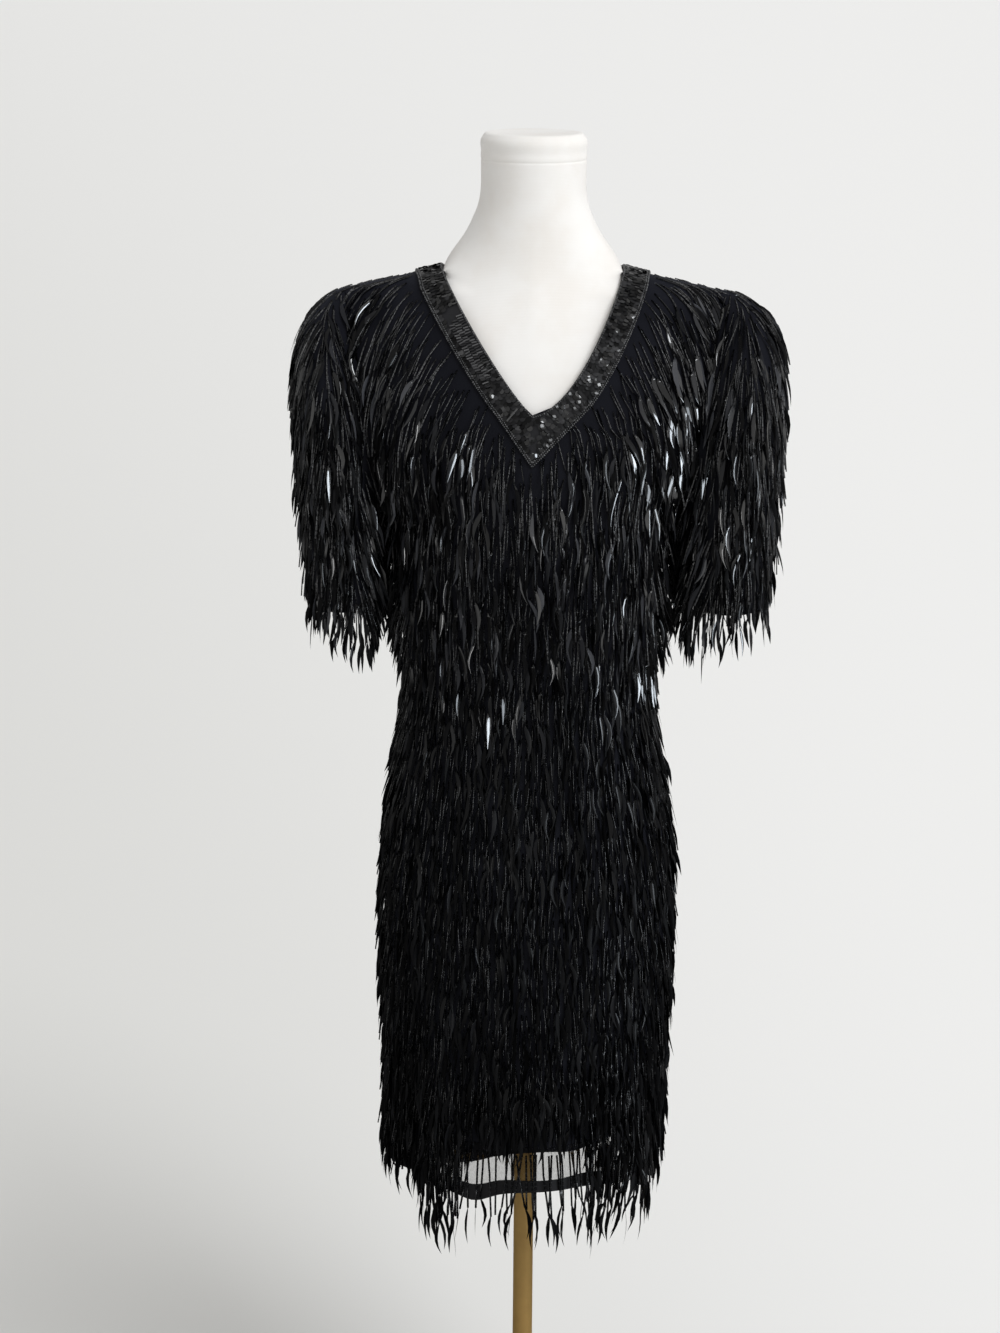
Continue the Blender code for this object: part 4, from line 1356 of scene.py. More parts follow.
    def _leaves(self, lines: Lines, strands: Strands, cut: Array, pose: Pose,
                leafed: Array) -> tuple[Array, list[Array]]:
        """Flat lenses that bow to one side by part of a half sine and end in a point.

        Args:
            lines: the strands' middle lines.
            strands: their lengths.
            cut: share of each line where its leaf starts.
            pose: how each leaf is turned and bent.
            leafed: which strands have a leaf.

        Returns:
            Points and faces.
        """
        width = self.leaf_width * np.where(pose.flash, self.flash_width,
                                           self.rng.uniform(0.75, 1.25, len(cut)))
        round_off = np.where(pose.flash, 0.09, 0.17)[:, None]
        cos, sin = np.cos(pose.yaw)[:, None], np.sin(pose.yaw)[:, None]
        leaf = []
        for share, wide in (*self.leaf_profile, (1.0, 0.0)):
            here, ahead, out, side = lines.read(cut + (1 - cut) * share)
            turned = cos * side + sin * out
            face = np.cross(turned, ahead)
            arc = math.pi * share * self.leaf_arc
            bowed = (pose.bow * self.leaf_bow * math.sin(arc) + pose.lean * share) * strands.leaf
            bend = cos * side + 0.35 * sin * out
            here = here + bowed[:, None] * bend + (pose.pitch * share * strands.leaf)[:, None] * out
            if not wide:
                leaf.append(here[:, None])
                continue
            half = (width * wide / 2)[:, None]
            cup = round_off * half
            slant = (pose.bow * 0.30 * math.cos(arc))[:, None]
            across = unit(turned + slant * -ahead * 0.6)
            leaf.append(np.stack([here + across * half, here + face * cup,
                                  here - across * half, here - face * 0.25 * cup], axis=1))
        points = np.concatenate(leaf, axis=1)[leafed]
        tip = 4 * len(self.leaf_profile)
        sides = np.concatenate([grid_quads(len(self.leaf_profile), 4, True), [[3, 2, 1, 0]]])
        return points.reshape(-1, 3), [repeat_faces(part, len(points), tip + 1) for part in
                                       (sides, fan(np.arange(tip - 4, tip), tip))]

    def leaf_rows(self, name: str, patch: Patch, strands: Strands, node: Optional[str],
                  finish: Sequence[bpy.types.Material], bare: float = 0.04) -> None:
        """Build one piece of fringe, which stands for a node, from its strands on a patch.

        Args:
            name: the piece's name.
            patch: the surface that it hangs on.
            strands: where its strands start.
            node: the solid that it stands for.
            finish: of its strings and leaves.
            bare: share of strings without a leaf.
        """
        place, faces, numbers = self.mesh(self.hang(patch, strands), strands, bare, name)
        made = put_mesh(name, place, faces, finish, 125.0, numbers, (0, 0, 1, 1))
        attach(made, BODY)
        if node:
            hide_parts(node)

    def build(self) -> None:
        """Every row of fringe, from the hem up."""
        finish = (BugleGlass().build(), StrandGloss().build())
        self._skirt(finish)
        self._yokes(finish)
        self._sleeves(finish)
        log.info("strands in all: %d", self.count)

    def _skirt(self, finish: Sequence[bpy.types.Material]) -> None:
        """Rows below the underarm, one piece for each tape, with a sheer gap over the hem."""
        angles = np.linspace(0, 2 * math.pi, 120, endpoint=False)
        heights = np.linspace(0.40, self.body.underarm, 90)
        patch = Patch(self.body.tube(angles[None, :], heights[:, None]), closed=True)
        whole, more = [self.scatter(patch, self._row_at(heights, top), self._row_at(heights, low))
                       for top, low in self.skirt_passes]
        strands = whole.plus(more)
        z = np.interp(strands.row, np.arange(len(heights)), heights)
        aside = np.sin(strands.turn(len(angles)))
        gap = (z < self.gap_top) & (
            np.abs(aside) < self.gap_side + self.rng.normal(0, 0.05, len(z)))
        gap |= (np.abs(aside) > 0.80) & (z < np.where(aside < 0, 0.452, 0.440))
        strands, z, aside = strands.keep(~gap), z[~gap], aside[~gap]
        strands.lift *= 1 + 0.25 * fade_in(z, 0.56, -0.1)
        flank = fade_in(np.abs(aside), 0.80, 0.15) * fade_in(z, 1.0, 0.04)
        strands.lift *= 1 + 1.8 * flank
        strands.fan = 0.24 * flank * np.sign(aside)
        ahead = np.cos(strands.turn(len(angles))) > 0
        for zone in self.zones:
            inside = (z >= zone.bottom) & (z < zone.top)
            if zone.word == "chest":
                for face, mask in (("front", ahead), ("back", ~ahead)):
                    self.leaf_rows("beaded_rows_chest_" + face, patch, strands.keep(inside & mask),
                                   "fringe_chest_" + face, finish)
            elif zone.word == "hem":
                edge = self._hem_row(heights, len(angles))
                self.leaf_rows("beaded_rows_hem", patch, strands.keep(inside).plus(edge),
                               "fringe_hem", finish, 0.0)
            else:
                self.leaf_rows("beaded_rows_" + zone.word, patch, strands.keep(inside),
                               "fringe_" + zone.word, finish)

    def _row_at(self, heights: Array, z: float) -> float:
        """Fractional row of a height."""
        return float(np.interp(z, heights, np.arange(len(heights))))

    def _hem_row(self, heights: Array, columns: int) -> Strands:
        """The last row: long strings over the sheer gap and the hem band, shorter at the sides."""
        rng, count = self.rng, self.hem_count
        column = (np.arange(count) + rng.normal(0, 0.22, count)) * columns / count
        column = column[(np.abs(np.sin(column / columns * 2 * math.pi)) > self.hem_side)
                        | (rng.uniform(0, 1, count) < 0.46)]
        count = len(column)
        turn = column / columns * 2 * math.pi
        aside, left = np.abs(np.sin(turn)), np.sin(turn) < 0
        flank = fade_in(aside, 0.70, 0.28)
        height = self.hem_root - np.where(aside > self.hem_side,
                                          rng.choice([-0.020, 0.0, 0.012, 0.022], count), 0)
        height = height + flank * np.where(left, 0.012, 0.005)
        share = 0.70 + 0.30 * np.abs(np.cos(turn)) ** 0.6
        share = share * (1 - flank * np.where(left, 0.46, 0.18))
        inward = -0.26 * np.sign(np.sin(turn)) * fade_in(aside, 0.50, 0.3)
        row = np.interp(height, heights, np.arange(len(heights))) + rng.normal(0, 0.1, count)
        bare = rng.uniform(0, 1, count) < 0.10
        return Strands(row, column, self.hem_string * share * rng.uniform(0.74, 1.04, count),
                       np.where(bare, 0.006, self.leaf_length * rng.uniform(0.90, 1.16, count)),
                       rng.uniform(0.004, 0.012, count), inward)

    def _yokes(self, finish: Sequence[bpy.types.Material]) -> None:
        """Rows above the underarm on each half: sparse and fanned out near the neck band."""
        for side in Side:
            for face in Face:
                grid = self.body.half_panel(side, face)
                patch = Patch(grid, False, (side is Side.LEFT) == (face is Face.FRONT))
                skirt = len(self.body.skirt_heights())
                strands = self.scatter(patch, grid.shape[0] - 1.5, skirt - 1.0)
                strands = self._fan_out(patch, strands, side, face)
                node = "fringe_yoke_" + side.word if face is Face.FRONT else (
                    "fringe_yoke_back" if side is Side.LEFT else None)
                self.leaf_rows("beaded_rows_yoke_%s_%s" % (face.word, side.word), patch, strands,
                               node, finish, 0.10)

    def _fan_out(self, patch: Patch, strands: Strands, side: Side, face: Face) -> Strands:
        """Thin the strands near the neck band and turn them outwards above the chest."""
        rng, body = self.rng, self.body
        place = patch.read(strands.row, strands.column)[0]
        edge = patch.read(strands.row, np.zeros(len(strands)))[0]
        clear = np.linalg.norm(place - edge, axis=-1)
        band = body.neck_band + 0.0015
        x, z = np.abs(place[:, 0]), place[:, 2]
        if face is Face.FRONT:
            open_zone = z > body.v_bottom - 0.06
            point = body.v_bottom - body.band_point * body.neck_band
            in_band = ((z >= body.v_bottom) & (clear < band)) | (x < (z - point) * 0.68)
            clear = np.where(z < body.v_bottom, np.hypot(x, z - body.v_bottom), clear)
        else:
            open_zone = z > body.back_neck - 0.10
            rim = np.abs(z - body.back_neck)
            clear = np.where((x < body.neck_point) & (z < body.back_neck), rim, clear)
            in_band = open_zone & (clear < band)
        dense = fade_in(clear, band, 0.040)
        chance = np.where(open_zone, 0.80 + 0.20 * dense, 1.0)
        kept = (rng.uniform(0, 1, len(strands)) < chance) & ~in_band
        spread = side.value * 0.62 * fade_in(z, 1.225, 0.09) ** 0.8
        spread *= 1 - 0.80 * fade_in(x, 0.07, 0.09)
        strands.fan = spread + rng.normal(0, 0.05, len(strands))
        near = np.where(open_zone, 1 - dense, 0)
        strands.string *= 1 + 0.55 * near
        strands.lift *= 1 - 0.6 * near
        plain = rng.uniform(0, 1, len(strands)) < 0.55 * near
        strands.leaf = np.where(plain, self.plain_leaf, strands.leaf)
        return strands.keep(kept)

    def _sleeves(self, finish: Sequence[bpy.types.Material]) -> None:
        """Rows round each sleeve: short and flat at the armhole, held off beside the body."""
        fine = self.sleeve.fine
        for side in Side:
            patch = Patch(self.sleeve.grid(self.body, side), True, side is Side.LEFT)
            strands = self.scatter(patch, 0.1 * fine, 7.45 * fine)
            inner = np.cos(strands.turn(patch.points.shape[1])) < -0.5
            strands.lift *= np.where(inner, 1.9, 1.0)
            strands.lift *= np.clip(0.55 + strands.row / (4 * fine), 0, 1)
            strands.string *= np.clip(0.30 + strands.row / (1.5 * fine), 0, 1)
            strands.fan = np.where(inner, -0.24 * side.value, 0.0)
            strands = strands.plus(self._cuff_row(patch))
            upper = strands.row < 5.6 * fine
            self.leaf_rows("beaded_rows_sleeve_upper_" + side.word, patch, strands.keep(upper),
                           "fringe_sleeve_upper_" + side.word, finish)
            self.leaf_rows("beaded_rows_sleeve_cuff_" + side.word, patch, strands.keep(~upper),
                           "fringe_sleeve_cuff_" + side.word, finish)

    def _cuff_row(self, patch: Patch) -> Strands:
        """Close rows along the cuff, whose strands hang below the cloth's edge."""
        rng, count = self.rng, self.cuff_count
        columns = patch.points.shape[1]
        column = (np.arange(count) + rng.normal(0, 0.25, count)) * columns / count
        row = rng.choice(self.cuff_rows, count) * self.sleeve.fine + rng.normal(0, 0.1, count)
        inner = np.clip(-0.2 - np.cos(column / columns * 2 * math.pi), 0, 0.5) * 2
        return Strands(row, column, rng.uniform(0.001, 0.024, count) + 0.020 * inner,
                       self.leaf_length * rng.uniform(0.72, 0.96, count),
                       rng.uniform(0.002, 0.009, count), np.zeros(count))


# Neck trim


@dataclass
class NeckTrim:
    """Sequin band round the neck, with bead lines along its edges and a stack of bugles."""

    body: BodyShape
    seed: int = 77
    under: float = 0.0006
    wall: float = 0.0012
    sequin: float = 0.0030
    sequin_pitch: float = 0.0040
    bead: float = 0.0011
    bead_pitch: float = 0.0023
    bugle_length: float = 0.0060
    bugle_radius: float = 0.0009
    bugle_pitch: float = 0.0030
    stack: tuple[float, float] = (0.30, 0.60)
    loose_half: float = 0.0085
    steps: int = 97
    levels: int = 13
    coarse: int = 17

    def strip(self, side: Optional[Side]) -> Array:
        """Points of a band length on the cloth: along the neck edge, then out across the band.

        Args:
            side: a front half, or None for the back.

        Returns:
            Grid with the inner edge in the first column.
        """
        body = self.body
        top = body.shoulder_line(body.neck_point)
        width = body.neck_band
        if side is None:
            turn = np.linspace(-math.pi / 2, math.pi / 2, self.steps)
            x = body.neck_point * np.sin(turn)
            z = top - (top - body.back_neck) * np.cos(turn)
            out_x = (body.neck_point + width) * np.sin(turn)
            out_top = body.shoulder_line(body.neck_point + width)
            out_z = out_top - (out_top - body.back_neck + width) * np.cos(turn)
            face = Face.BACK
        else:
            power = body.v_curve[0 if side is Side.LEFT else 1]
            steps = eased(self.coarse)
            coarse_x = body.neck_point * steps**power
            coarse_z = body.v_bottom + (top - body.v_bottom) * steps
            tangent_x, tangent_z = np.gradient(coarse_x), np.gradient(coarse_z)
            length = np.hypot(tangent_x, tangent_z)
            far_x = coarse_x + width * tangent_z / length
            far_z = coarse_z - width * tangent_x / length
            far_x[0], far_z[0] = 0, body.v_bottom - width * body.band_point
            far_x[-1] = body.neck_point + width
            far_z[-1] = body.shoulder_line(far_x[-1])
            far_x[-2] = (far_x[-3] + far_x[-1]) / 2
            far_z[-2] = far_z[-1] - 0.25 * (far_z[-1] - far_z[-3])
            at = np.linspace(0, self.coarse - 1, self.steps)
            place = np.interp(at, np.arange(self.coarse), steps)
            x = body.neck_point * place**power
            z = body.v_bottom + (top - body.v_bottom) * place
            out_x, out_z = smooth_read(far_x, at), smooth_read(far_z, at)
            face = Face.FRONT
        share = np.linspace(0, 1, self.levels)[None, :]
        across = x[:, None] + (out_x - x)[:, None] * share
        up = z[:, None] + (out_z - z)[:, None] * share
        grid = np.stack([across, face.value * body.depth(across, up, face), up], axis=-1)
        if side is not None:
            grid[:, :, 0] *= side.value
        grid[..., 1] += face.value * body.seam / 2
        return grid

    def build(self) -> None:
        """Make the three lengths of band and what is sewn on them."""
        self.rng = np.random.default_rng(self.seed)
        cloth = PlainCloth("band_cloth").build()
        gloss = SequinGloss().build()
        beads = BugleGlass("band_beads").build()
        for side in (Side.LEFT, Side.RIGHT, None):
            grid = self.strip(side)
            flip = side is not Side.RIGHT
            patch = Patch(grid, False, flip)
            word = "back" if side is None else side.word
            normals = patch.normals
            base = put_mesh("neck_band_cloth_" + word,
                            *shell(grid + (self.under + self.wall) * normals, self.wall,
                                   flip=flip, inward=normals), cloth)
            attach(base, BODY)
            sequins = self._sequins(patch, side, gloss, word)
            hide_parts("neck_band_" + word)
            self._beads(patch, beads, word)
            if side is Side.LEFT:
                self._bugles(patch, beads)

    def _spots(self, patch: Patch, column: float, pitch: float, first: float = 0.0,
               last: float = 1.0) -> Array:
        """Rows at even distances along the band at a column."""
        rows = np.linspace(0, patch.points.shape[0] - 1, 600)
        arc = arc_length(patch.read(rows, np.full(600, column))[0])
        count = int(arc[-1] * (last - first) / pitch)
        return np.interp((np.arange(count) + 0.5) * pitch + first * arc[-1], arc, rows)

    def _sequins(self, patch: Patch, side: Optional[Side], gloss: bpy.types.Material,
                 word: str) -> bpy.types.Object:
        """Overlapping round sequins in rows, each a flat lens tipped over the one before."""
        rng = self.rng
        last = patch.points.shape[1] - 1
        rows, columns = [], []
        for line, share in enumerate(np.linspace(0.15, 0.80, 5)):
            spots = self._spots(patch, share * last, self.sequin_pitch)
            rows.append(spots + (line % 2) * 0.5)
            columns.append(np.full(len(spots), share * last))
        row = np.concatenate(rows) + rng.normal(0, 0.15, sum(map(len, rows)))
        column = np.concatenate(columns) + rng.normal(0, 0.25, len(row))
        if side is Side.LEFT:
            place = row / (patch.points.shape[0] - 1)
            stack = (place > 0.30) & (place < 0.62) & (column < 0.72 * last) & (column > 0.1 * last)
            row, column = row[~stack], column[~stack]
        place, normal, along, across = patch.read(row, column)
        count = len(row)
        tip = np.radians(rng.normal(11, 7, count))[:, None]
        roll = np.radians(rng.normal(0, 7, count))[:, None]
        ahead, aside = unit(along), unit(across)
        out = unit(normal + np.tan(tip) * ahead + np.tan(roll) * aside)
        first = unit(np.cross(out, aside))
        second = np.cross(out, first)
        radius = (self.sequin * rng.uniform(0.88, 1.08, count))[:, None, None]
        centre = place + (self.under + self.wall + 0.0009) * normal
        sides = 10
        turn = np.linspace(0, 2 * math.pi, sides, endpoint=False)
        rim = centre[:, None] + radius * circles(turn, first, second)
        top = (centre + 0.00032 * out)[:, None]
        bottom = (centre - 0.00012 * out)[:, None]
        points = np.concatenate([rim, top, bottom], axis=1)
        ring = np.arange(sides)
        lens = np.concatenate([fan(ring, sides), fan(ring, sides + 1, True)])
        faces = repeat_faces(lens, count, sides + 2)
        tone = rng.uniform(0, 1, count) ** 2.4
        shine = np.where(rng.uniform(0, 1, count) < 0.30, rng.uniform(0.6, 1, count),
                         rng.uniform(0, 0.4, count))
        made = put_mesh("neck_sequins_" + word, points.reshape(-1, 3), [faces], gloss, 30.0,
                        {"tone": np.repeat(tone, sides + 2), "shine": np.repeat(shine, sides + 2)})
        recalculate(made)
        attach(made, BODY)
        log.info("%s: %d sequins", made.name, count)
        return made

    def _beads(self, patch: Patch, finish: bpy.types.Material, word: str) -> None:
        """Seed beads along the edges: one line inside, two outside."""
        last = patch.points.shape[1] - 1
        rows, columns = [], []
        for share in (0.045, 0.895, 0.975):
            spots = self._spots(patch, share * last, self.bead_pitch)
            rows.append(spots)
            columns.append(np.full(len(spots), share * last))
        place, normal, _, _ = patch.read(np.concatenate(rows), np.concatenate(columns))
        centre = place + (self.under + self.wall + 0.6 * self.bead) * normal
        made = balls("neck_beads_" + word, centre, self.bead, finish, self.rng)
        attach(made, BODY)

    def _bugles(self, patch: Patch, finish: bpy.types.Material) -> None:
        """Stack of bugles laid across the left band, and one that has come loose near the point."""
        rng = self.rng
        last = patch.points.shape[1] - 1
        rows, columns = [], []
        for share in (0.20, 0.40, 0.60):
            spots = self._spots(patch, share * last, self.bugle_pitch, *self.stack)
            rows.append(spots)
            columns.append(np.full(len(spots), share * last) + rng.normal(0, 0.2, len(spots)))
        row, column = np.concatenate(rows), np.concatenate(columns)
        place, normal, along, across = patch.read(row, column)
        way = unit(unit(across) + rng.normal(0.25, 0.10, (len(row), 1)) * unit(along))
        centre = place + (self.under + self.wall + self.bugle_radius) * normal
        half = (self.bugle_length / 2 * rng.uniform(0.8, 1.1, len(row)))[:, None]
        start, end = centre - half * way, centre + half * way
        spot = patch.read(np.array([5.0]), np.array([0.5 * last]))
        loose = spot[0] + (self.under + self.wall + 0.0035) * spot[1]
        slant = unit(np.array([[0.62, -0.10, 0.78]]))
        start = np.concatenate([start, loose - self.loose_half * slant])
        end = np.concatenate([end, loose + self.loose_half * slant])
        made = rods("neck_bugles", start, end, self.bugle_radius, finish, rng)
        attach(made, BODY)


def smooth_read(values: Array, at: Array) -> Array:
    """Read a list between its places along a cubic with mean slopes."""
    low = np.clip(np.floor(at).astype(int), 0, len(values) - 2)
    return cubic(values, np.gradient(values), low, at - low)


def recalculate(made: bpy.types.Object) -> None:
    """Turn every face of a mesh outwards."""
    cell = bmesh.new()
    cell.from_mesh(made.data)
    bmesh.ops.recalc_face_normals(cell, faces=cell.faces)
    cell.to_mesh(made.data)
    cell.free()


def balls(name: str, centres: Array, radius: float, finish: bpy.types.Material,
          rng: np.random.Generator) -> bpy.types.Object:
    """Small round beads: rings of six points and a pole at each end, at every centre.

    Args:
        name: the piece's name.
        centres: one row for each bead.
        radius: of a bead.
        finish: its material.
        rng: draws the tones.

    Returns:
        The piece.
    """
    sides, bands = 6, 3
    turn = np.linspace(0, 2 * math.pi, sides, endpoint=False)
    rise = np.linspace(-math.pi / 2, math.pi / 2, bands + 2)[1:-1]
    ring = np.stack([np.cos(rise)[:, None] * np.cos(turn), np.cos(rise)[:, None] * np.sin(turn),
                     np.sin(rise)[:, None] + 0 * turn], axis=-1).reshape(-1, 3)
    one = np.concatenate([ring, [[0, 0, -1], [0, 0, 1]]]) * radius
    count = len(centres)
    points = (centres[:, None] + one[None]).reshape(-1, 3)
    tone = np.repeat(rng.uniform(0, 1, count), len(one))
    shine = np.repeat(rng.uniform(0.2, 1.0, count), len(one))
    middle = np.full(len(points), BugleGlass.pitch / 4)
    faces = [repeat_faces(part, count, len(one)) for part in
             (grid_quads(bands, sides, True), end_fans(bands, sides))]
    return put_mesh(name, points, faces, finish, 80.0,
                    {"tone": tone, "shine": shine, "along": middle})


def end_fans(rows: int, columns: int) -> Array:
    """Triangles that close a stack of rings; the last two points are the low and the high pole."""
    ring = np.arange(columns)
    return np.concatenate([fan(ring, rows * columns, True),
                           fan((rows - 1) * columns + ring, rows * columns + 1)])


def rods(name: str, start: Array, end: Array, radius: float, finish: bpy.types.Material,
         rng: np.random.Generator) -> bpy.types.Object:
    """Bugle beads: six-sided tubes from start to end points, closed at both ends."""
    sides = 6
    way = unit(end - start)
    side = unit(np.cross(way, np.array([0.31, 0.05, 0.95])))
    other = np.cross(way, side)
    turn = np.linspace(0, 2 * math.pi, sides, endpoint=False)
    ring = radius * circles(turn, side, other)
    points = np.concatenate([start[:, None] + ring, end[:, None] + ring], axis=1)
    count = len(start)
    caps = np.array([list(range(sides))[::-1], list(range(sides, 2 * sides))])
    tone = np.repeat(rng.uniform(0, 1, count), 2 * sides)
    shine = np.repeat(rng.uniform(0.4, 1.0, count), 2 * sides)
    middle = np.full(count * 2 * sides, BugleGlass.pitch / 4)
    faces = [repeat_faces(part, count, 2 * sides) for part in (grid_quads(2, sides, True), caps)]
    return put_mesh(name, points.reshape(-1, 3), faces, finish, 50.0,
                    {"tone": tone, "shine": shine, "along": middle})


# Form and stand


@dataclass
class DressForm:
    """Padded limbless form: body and neck under one smooth cover, capped at the top."""

    body: BodyShape
    clearance: float = 0.0035
    waist_clearance: float = 0.007
    neck_column: float = 0.056
    bottom: float = 0.690
    edge: float = 0.012
    top: float = 1.5295
    bore: float = 0.0114
    socket: float = 0.0604
    columns: int = 144
    seam_height: float = 1.5030
    root: float = 1.384
    fillet: float = 0.030
    reach: tuple[float, float] = (0.068, 0.086)
    blend: tuple[float, float] = (0.028, 0.014)
    seam_steps: tuple[float, ...] = (-0.0022, -0.0012, -0.0004, 0.0004, 0.0012, 0.0022)
    cap: tuple[tuple[float, float], ...] = (
        (0.95, -0.0006), (0.88, -0.0006), (0.78, 0.0002), (0.60, 0.0006), (0.35, 0.0006),
        (0.12, 0.0006))
    neck: tuple[NeckRing, ...] = (
        NeckRing(1.3900, 0.0872, 0.0600, 0.0620),
        NeckRing(1.3990, 0.0842, 0.0585, 0.0605),
        NeckRing(1.4090, 0.0805, 0.0570, 0.0590),
        NeckRing(1.4190, 0.0742, 0.0560, 0.0580),
        NeckRing(1.4290, 0.0668, 0.0553, 0.0572),
        NeckRing(1.4420, 0.0592, 0.0547, 0.0566),
        NeckRing(1.4580, 0.0556, 0.0542, 0.0556),
        NeckRing(1.4750, 0.0545, 0.0540, 0.0550),
        NeckRing(1.5100, 0.0545, 0.0540, 0.0550),
        NeckRing(1.5250, 0.0538, 0.0530, 0.0540),
        NeckRing(1.5295, 0.0505, 0.0497, 0.0507),
    )

    def _oval(self, turn: Array, half: float, front: float, back: float, z: float) -> Array:
        """Level oval loop that starts at the front."""
        ahead = np.where(np.cos(turn) >= 0, -front, -back)
        return np.stack([half * np.sin(turn), ahead * np.cos(turn), np.full(len(turn), z)], axis=-1)

    def _loop(self, turn: Array, z: float) -> Array:
        """Loop of the body under the dress: its section less the clearance, with a neck root."""
        rounding = self.edge if z == self.bottom else 0.0
        inset = self.clearance if z > self.body.chest else self.waist_clearance
        under = (self.body.shoulder_peak - self.clearance - z) / self.body.shoulder_fall
        half = min(float(read_table(self.body.sections, "form_half_width", z)), under) - rounding
        x = half * np.sin(turn)
        round_end = (1 - np.clip(np.abs(x) / half, 0, 1) ** 3) ** (1 / 2.6)
        near = self.body.depth(x, z, Face.FRONT, inset + rounding) * round_end
        far = self.body.depth(x, z, Face.BACK, inset + rounding) * round_end
        if z > self.body.chest:
            aside = np.clip(np.abs(x) / self.neck_column, 0, 1)
            column = self.neck_column * np.sqrt(1 - aside**2)
            near, far = np.maximum(near, column), np.maximum(far, column)
        y = np.where(np.cos(turn) >= 0, -near, far)
        return np.stack([x, y, np.full(len(turn), z)], axis=-1)

    def _soften(self, loops: Array, turn: Array) -> Array:
        """Ease the neck's root into the chest: depths near the middle are averaged over height."""
        z = loops[:, 0, 2]
        step = np.abs(np.gradient(z))
        rows = (z > self.root - 3 * self.fillet) & (z < self.root + 3 * self.fillet)
        rows[:2] = False
        weight = np.exp(-((z[rows][:, None] - z[None]) / self.fillet) ** 2) * step
        weight[:, :2] = 0
        share = weight / weight.sum(axis=1, keepdims=True)
        mean = np.stack([share @ loops[:, :, axis] for axis in (0, 1)], axis=-1)
        middle = 1 - np.clip((np.abs(loops[rows][:, :, :1]) - self.reach) / self.blend, 0, 1)
        fade = 1 - np.clip(np.abs(z[rows] - self.root) / self.fillet - 2, 0, 1)[:, None, None]
        part = middle * middle * (3 - 2 * middle) * fade
        softened = loops.copy()
        softened[rows, :, :2] += part * (mean - loops[rows][:, :, :2])
        return softened

    def build(self) -> None:
        """Loft the loops from the socket up, over the shoulders and up the neck to the cap."""
        turn = np.linspace(0, 2 * math.pi, self.columns, endpoint=False)
        loops = [self._oval(turn, self.bore, self.bore, self.bore, self.bottom + self.socket),
                 self._oval(turn, self.bore, self.bore, self.bore, self.bottom)]
        heights = np.concatenate([[self.bottom, self.bottom + self.edge],
                                  np.linspace(self.bottom + 0.05, self.body.underarm, 33),
                                  np.linspace(self.body.underarm + 0.007, 1.345, 30),
                                  np.linspace(1.349, 1.387, 15)])
        loops += [self._loop(turn, float(z)) for z in heights]
        seam = self.seam_height + np.array(self.seam_steps)
        rise = np.sort(np.concatenate([np.linspace(1.390, 1.4990, 34), seam,
                                       np.linspace(1.5075, self.top, 16)]))
        for z in rise:
            groove = 0.0005 * math.exp(-((z - self.seam_height) / 0.0009) ** 2)
            swell = 0.0002 * math.exp(-((z - self.seam_height - 0.004) / 0.003) ** 2)
            half, front, back = [float(read_table(self.neck, key, z)) + swell - groove
                                 for key in ("half_width", "front", "back")]
            loops.append(self._oval(turn, half, front, back, float(z)))
        last = self.neck[-1]
        for share, sink in self.cap:
            loops.append(self._oval(turn, last.half_width * share, last.front * share,
                                    last.back * share, self.top - sink))
        finish = StretchCover().build()
        made = lathe("form_body", self._soften(np.stack(loops), turn), finish, 60.0)
        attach(made, BODY)
        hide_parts("dress_form")
        log.info("form_body: %d faces", len(made.data.polygons))


def lathe(name: str, loops: Array, finish: bpy.types.Material, sharp: float) -> bpy.types.Object:
    """Close a stack of equal loops with a fan at each end.

    Args:
        name: the piece's name.
        loops: points, loop by loop, anticlockwise from above.
        finish: its material.
        sharp: edges steeper than this many degrees are shaded sharp.

    Returns:
        The piece.
    """
    rows, columns = loops.shape[:2]
    points = np.concatenate([loops.reshape(-1, 3), loops[0].mean(axis=0)[None],
                             loops[-1].mean(axis=0)[None]])
    faces = [grid_quads(rows, columns, True), end_fans(rows, columns)]
    made = put_mesh(name, points, faces, finish, sharp)
    recalculate(made)
    return made


@dataclass
class Stand:
    """Brass pole in a round weighted base."""

    radius: float = 0.011
    gap: float = 0.0004
    foot: float = 0.0204
    top: float = 0.750
    sides: int = 72
    bevel: float = 0.0008
    floor: float = 0.020
    rings: tuple[BaseRing, ...] = (
        BaseRing(0.1592, 0.0000), BaseRing(0.1600, 0.0008), BaseRing(0.1600, 0.0072),
        BaseRing(0.1594, 0.0086), BaseRing(0.1560, 0.0112), BaseRing(0.1500, 0.0128),
        BaseRing(0.1100, 0.0170), BaseRing(0.0750, 0.0205), BaseRing(0.0500, 0.0260),
        BaseRing(0.0360, 0.0325), BaseRing(0.0260, 0.0420), BaseRing(0.0218, 0.0550),
        BaseRing(0.0202, 0.0700), BaseRing(0.0200, 0.0892), BaseRing(0.0192, 0.0900))

    def build(self) -> None:
        """Turn the base from its profile and the pole from its two ends."""
        finish = SatinBrass().build()
        turn = np.linspace(0, 2 * math.pi, self.sides, endpoint=False)

        def circle(radius: float, z: float) -> Array:
            """Level circle round the pole's axis."""
            return np.stack([radius * np.cos(turn), radius * np.sin(turn),
                             np.full(self.sides, z)], axis=-1)

        bore = self.radius + self.gap
        loops = [circle(ring.radius, ring.height) for ring in self.rings]
        loops += [circle(bore + 0.0006, 0.0900), circle(bore, 0.0894), circle(bore, self.floor)]
        base = lathe("base_brass", np.stack(loops), finish, 30.0)
        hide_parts("base")
        loops = [circle(self.radius - self.bevel, self.foot),
                 circle(self.radius, self.foot + self.bevel)]
        loops += [circle(self.radius, z) for z in np.linspace(0.03, self.top - 0.002, 12)]
        loops += [circle(self.radius - self.bevel, self.top)]
        pole = lathe("pole_brass", np.stack(loops), finish, 30.0)
        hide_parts("pole")
        for made in (base, pole):
            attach(made, BODY)


# Studio


Panel = namedtuple("Panel", "name place aim size power colour")


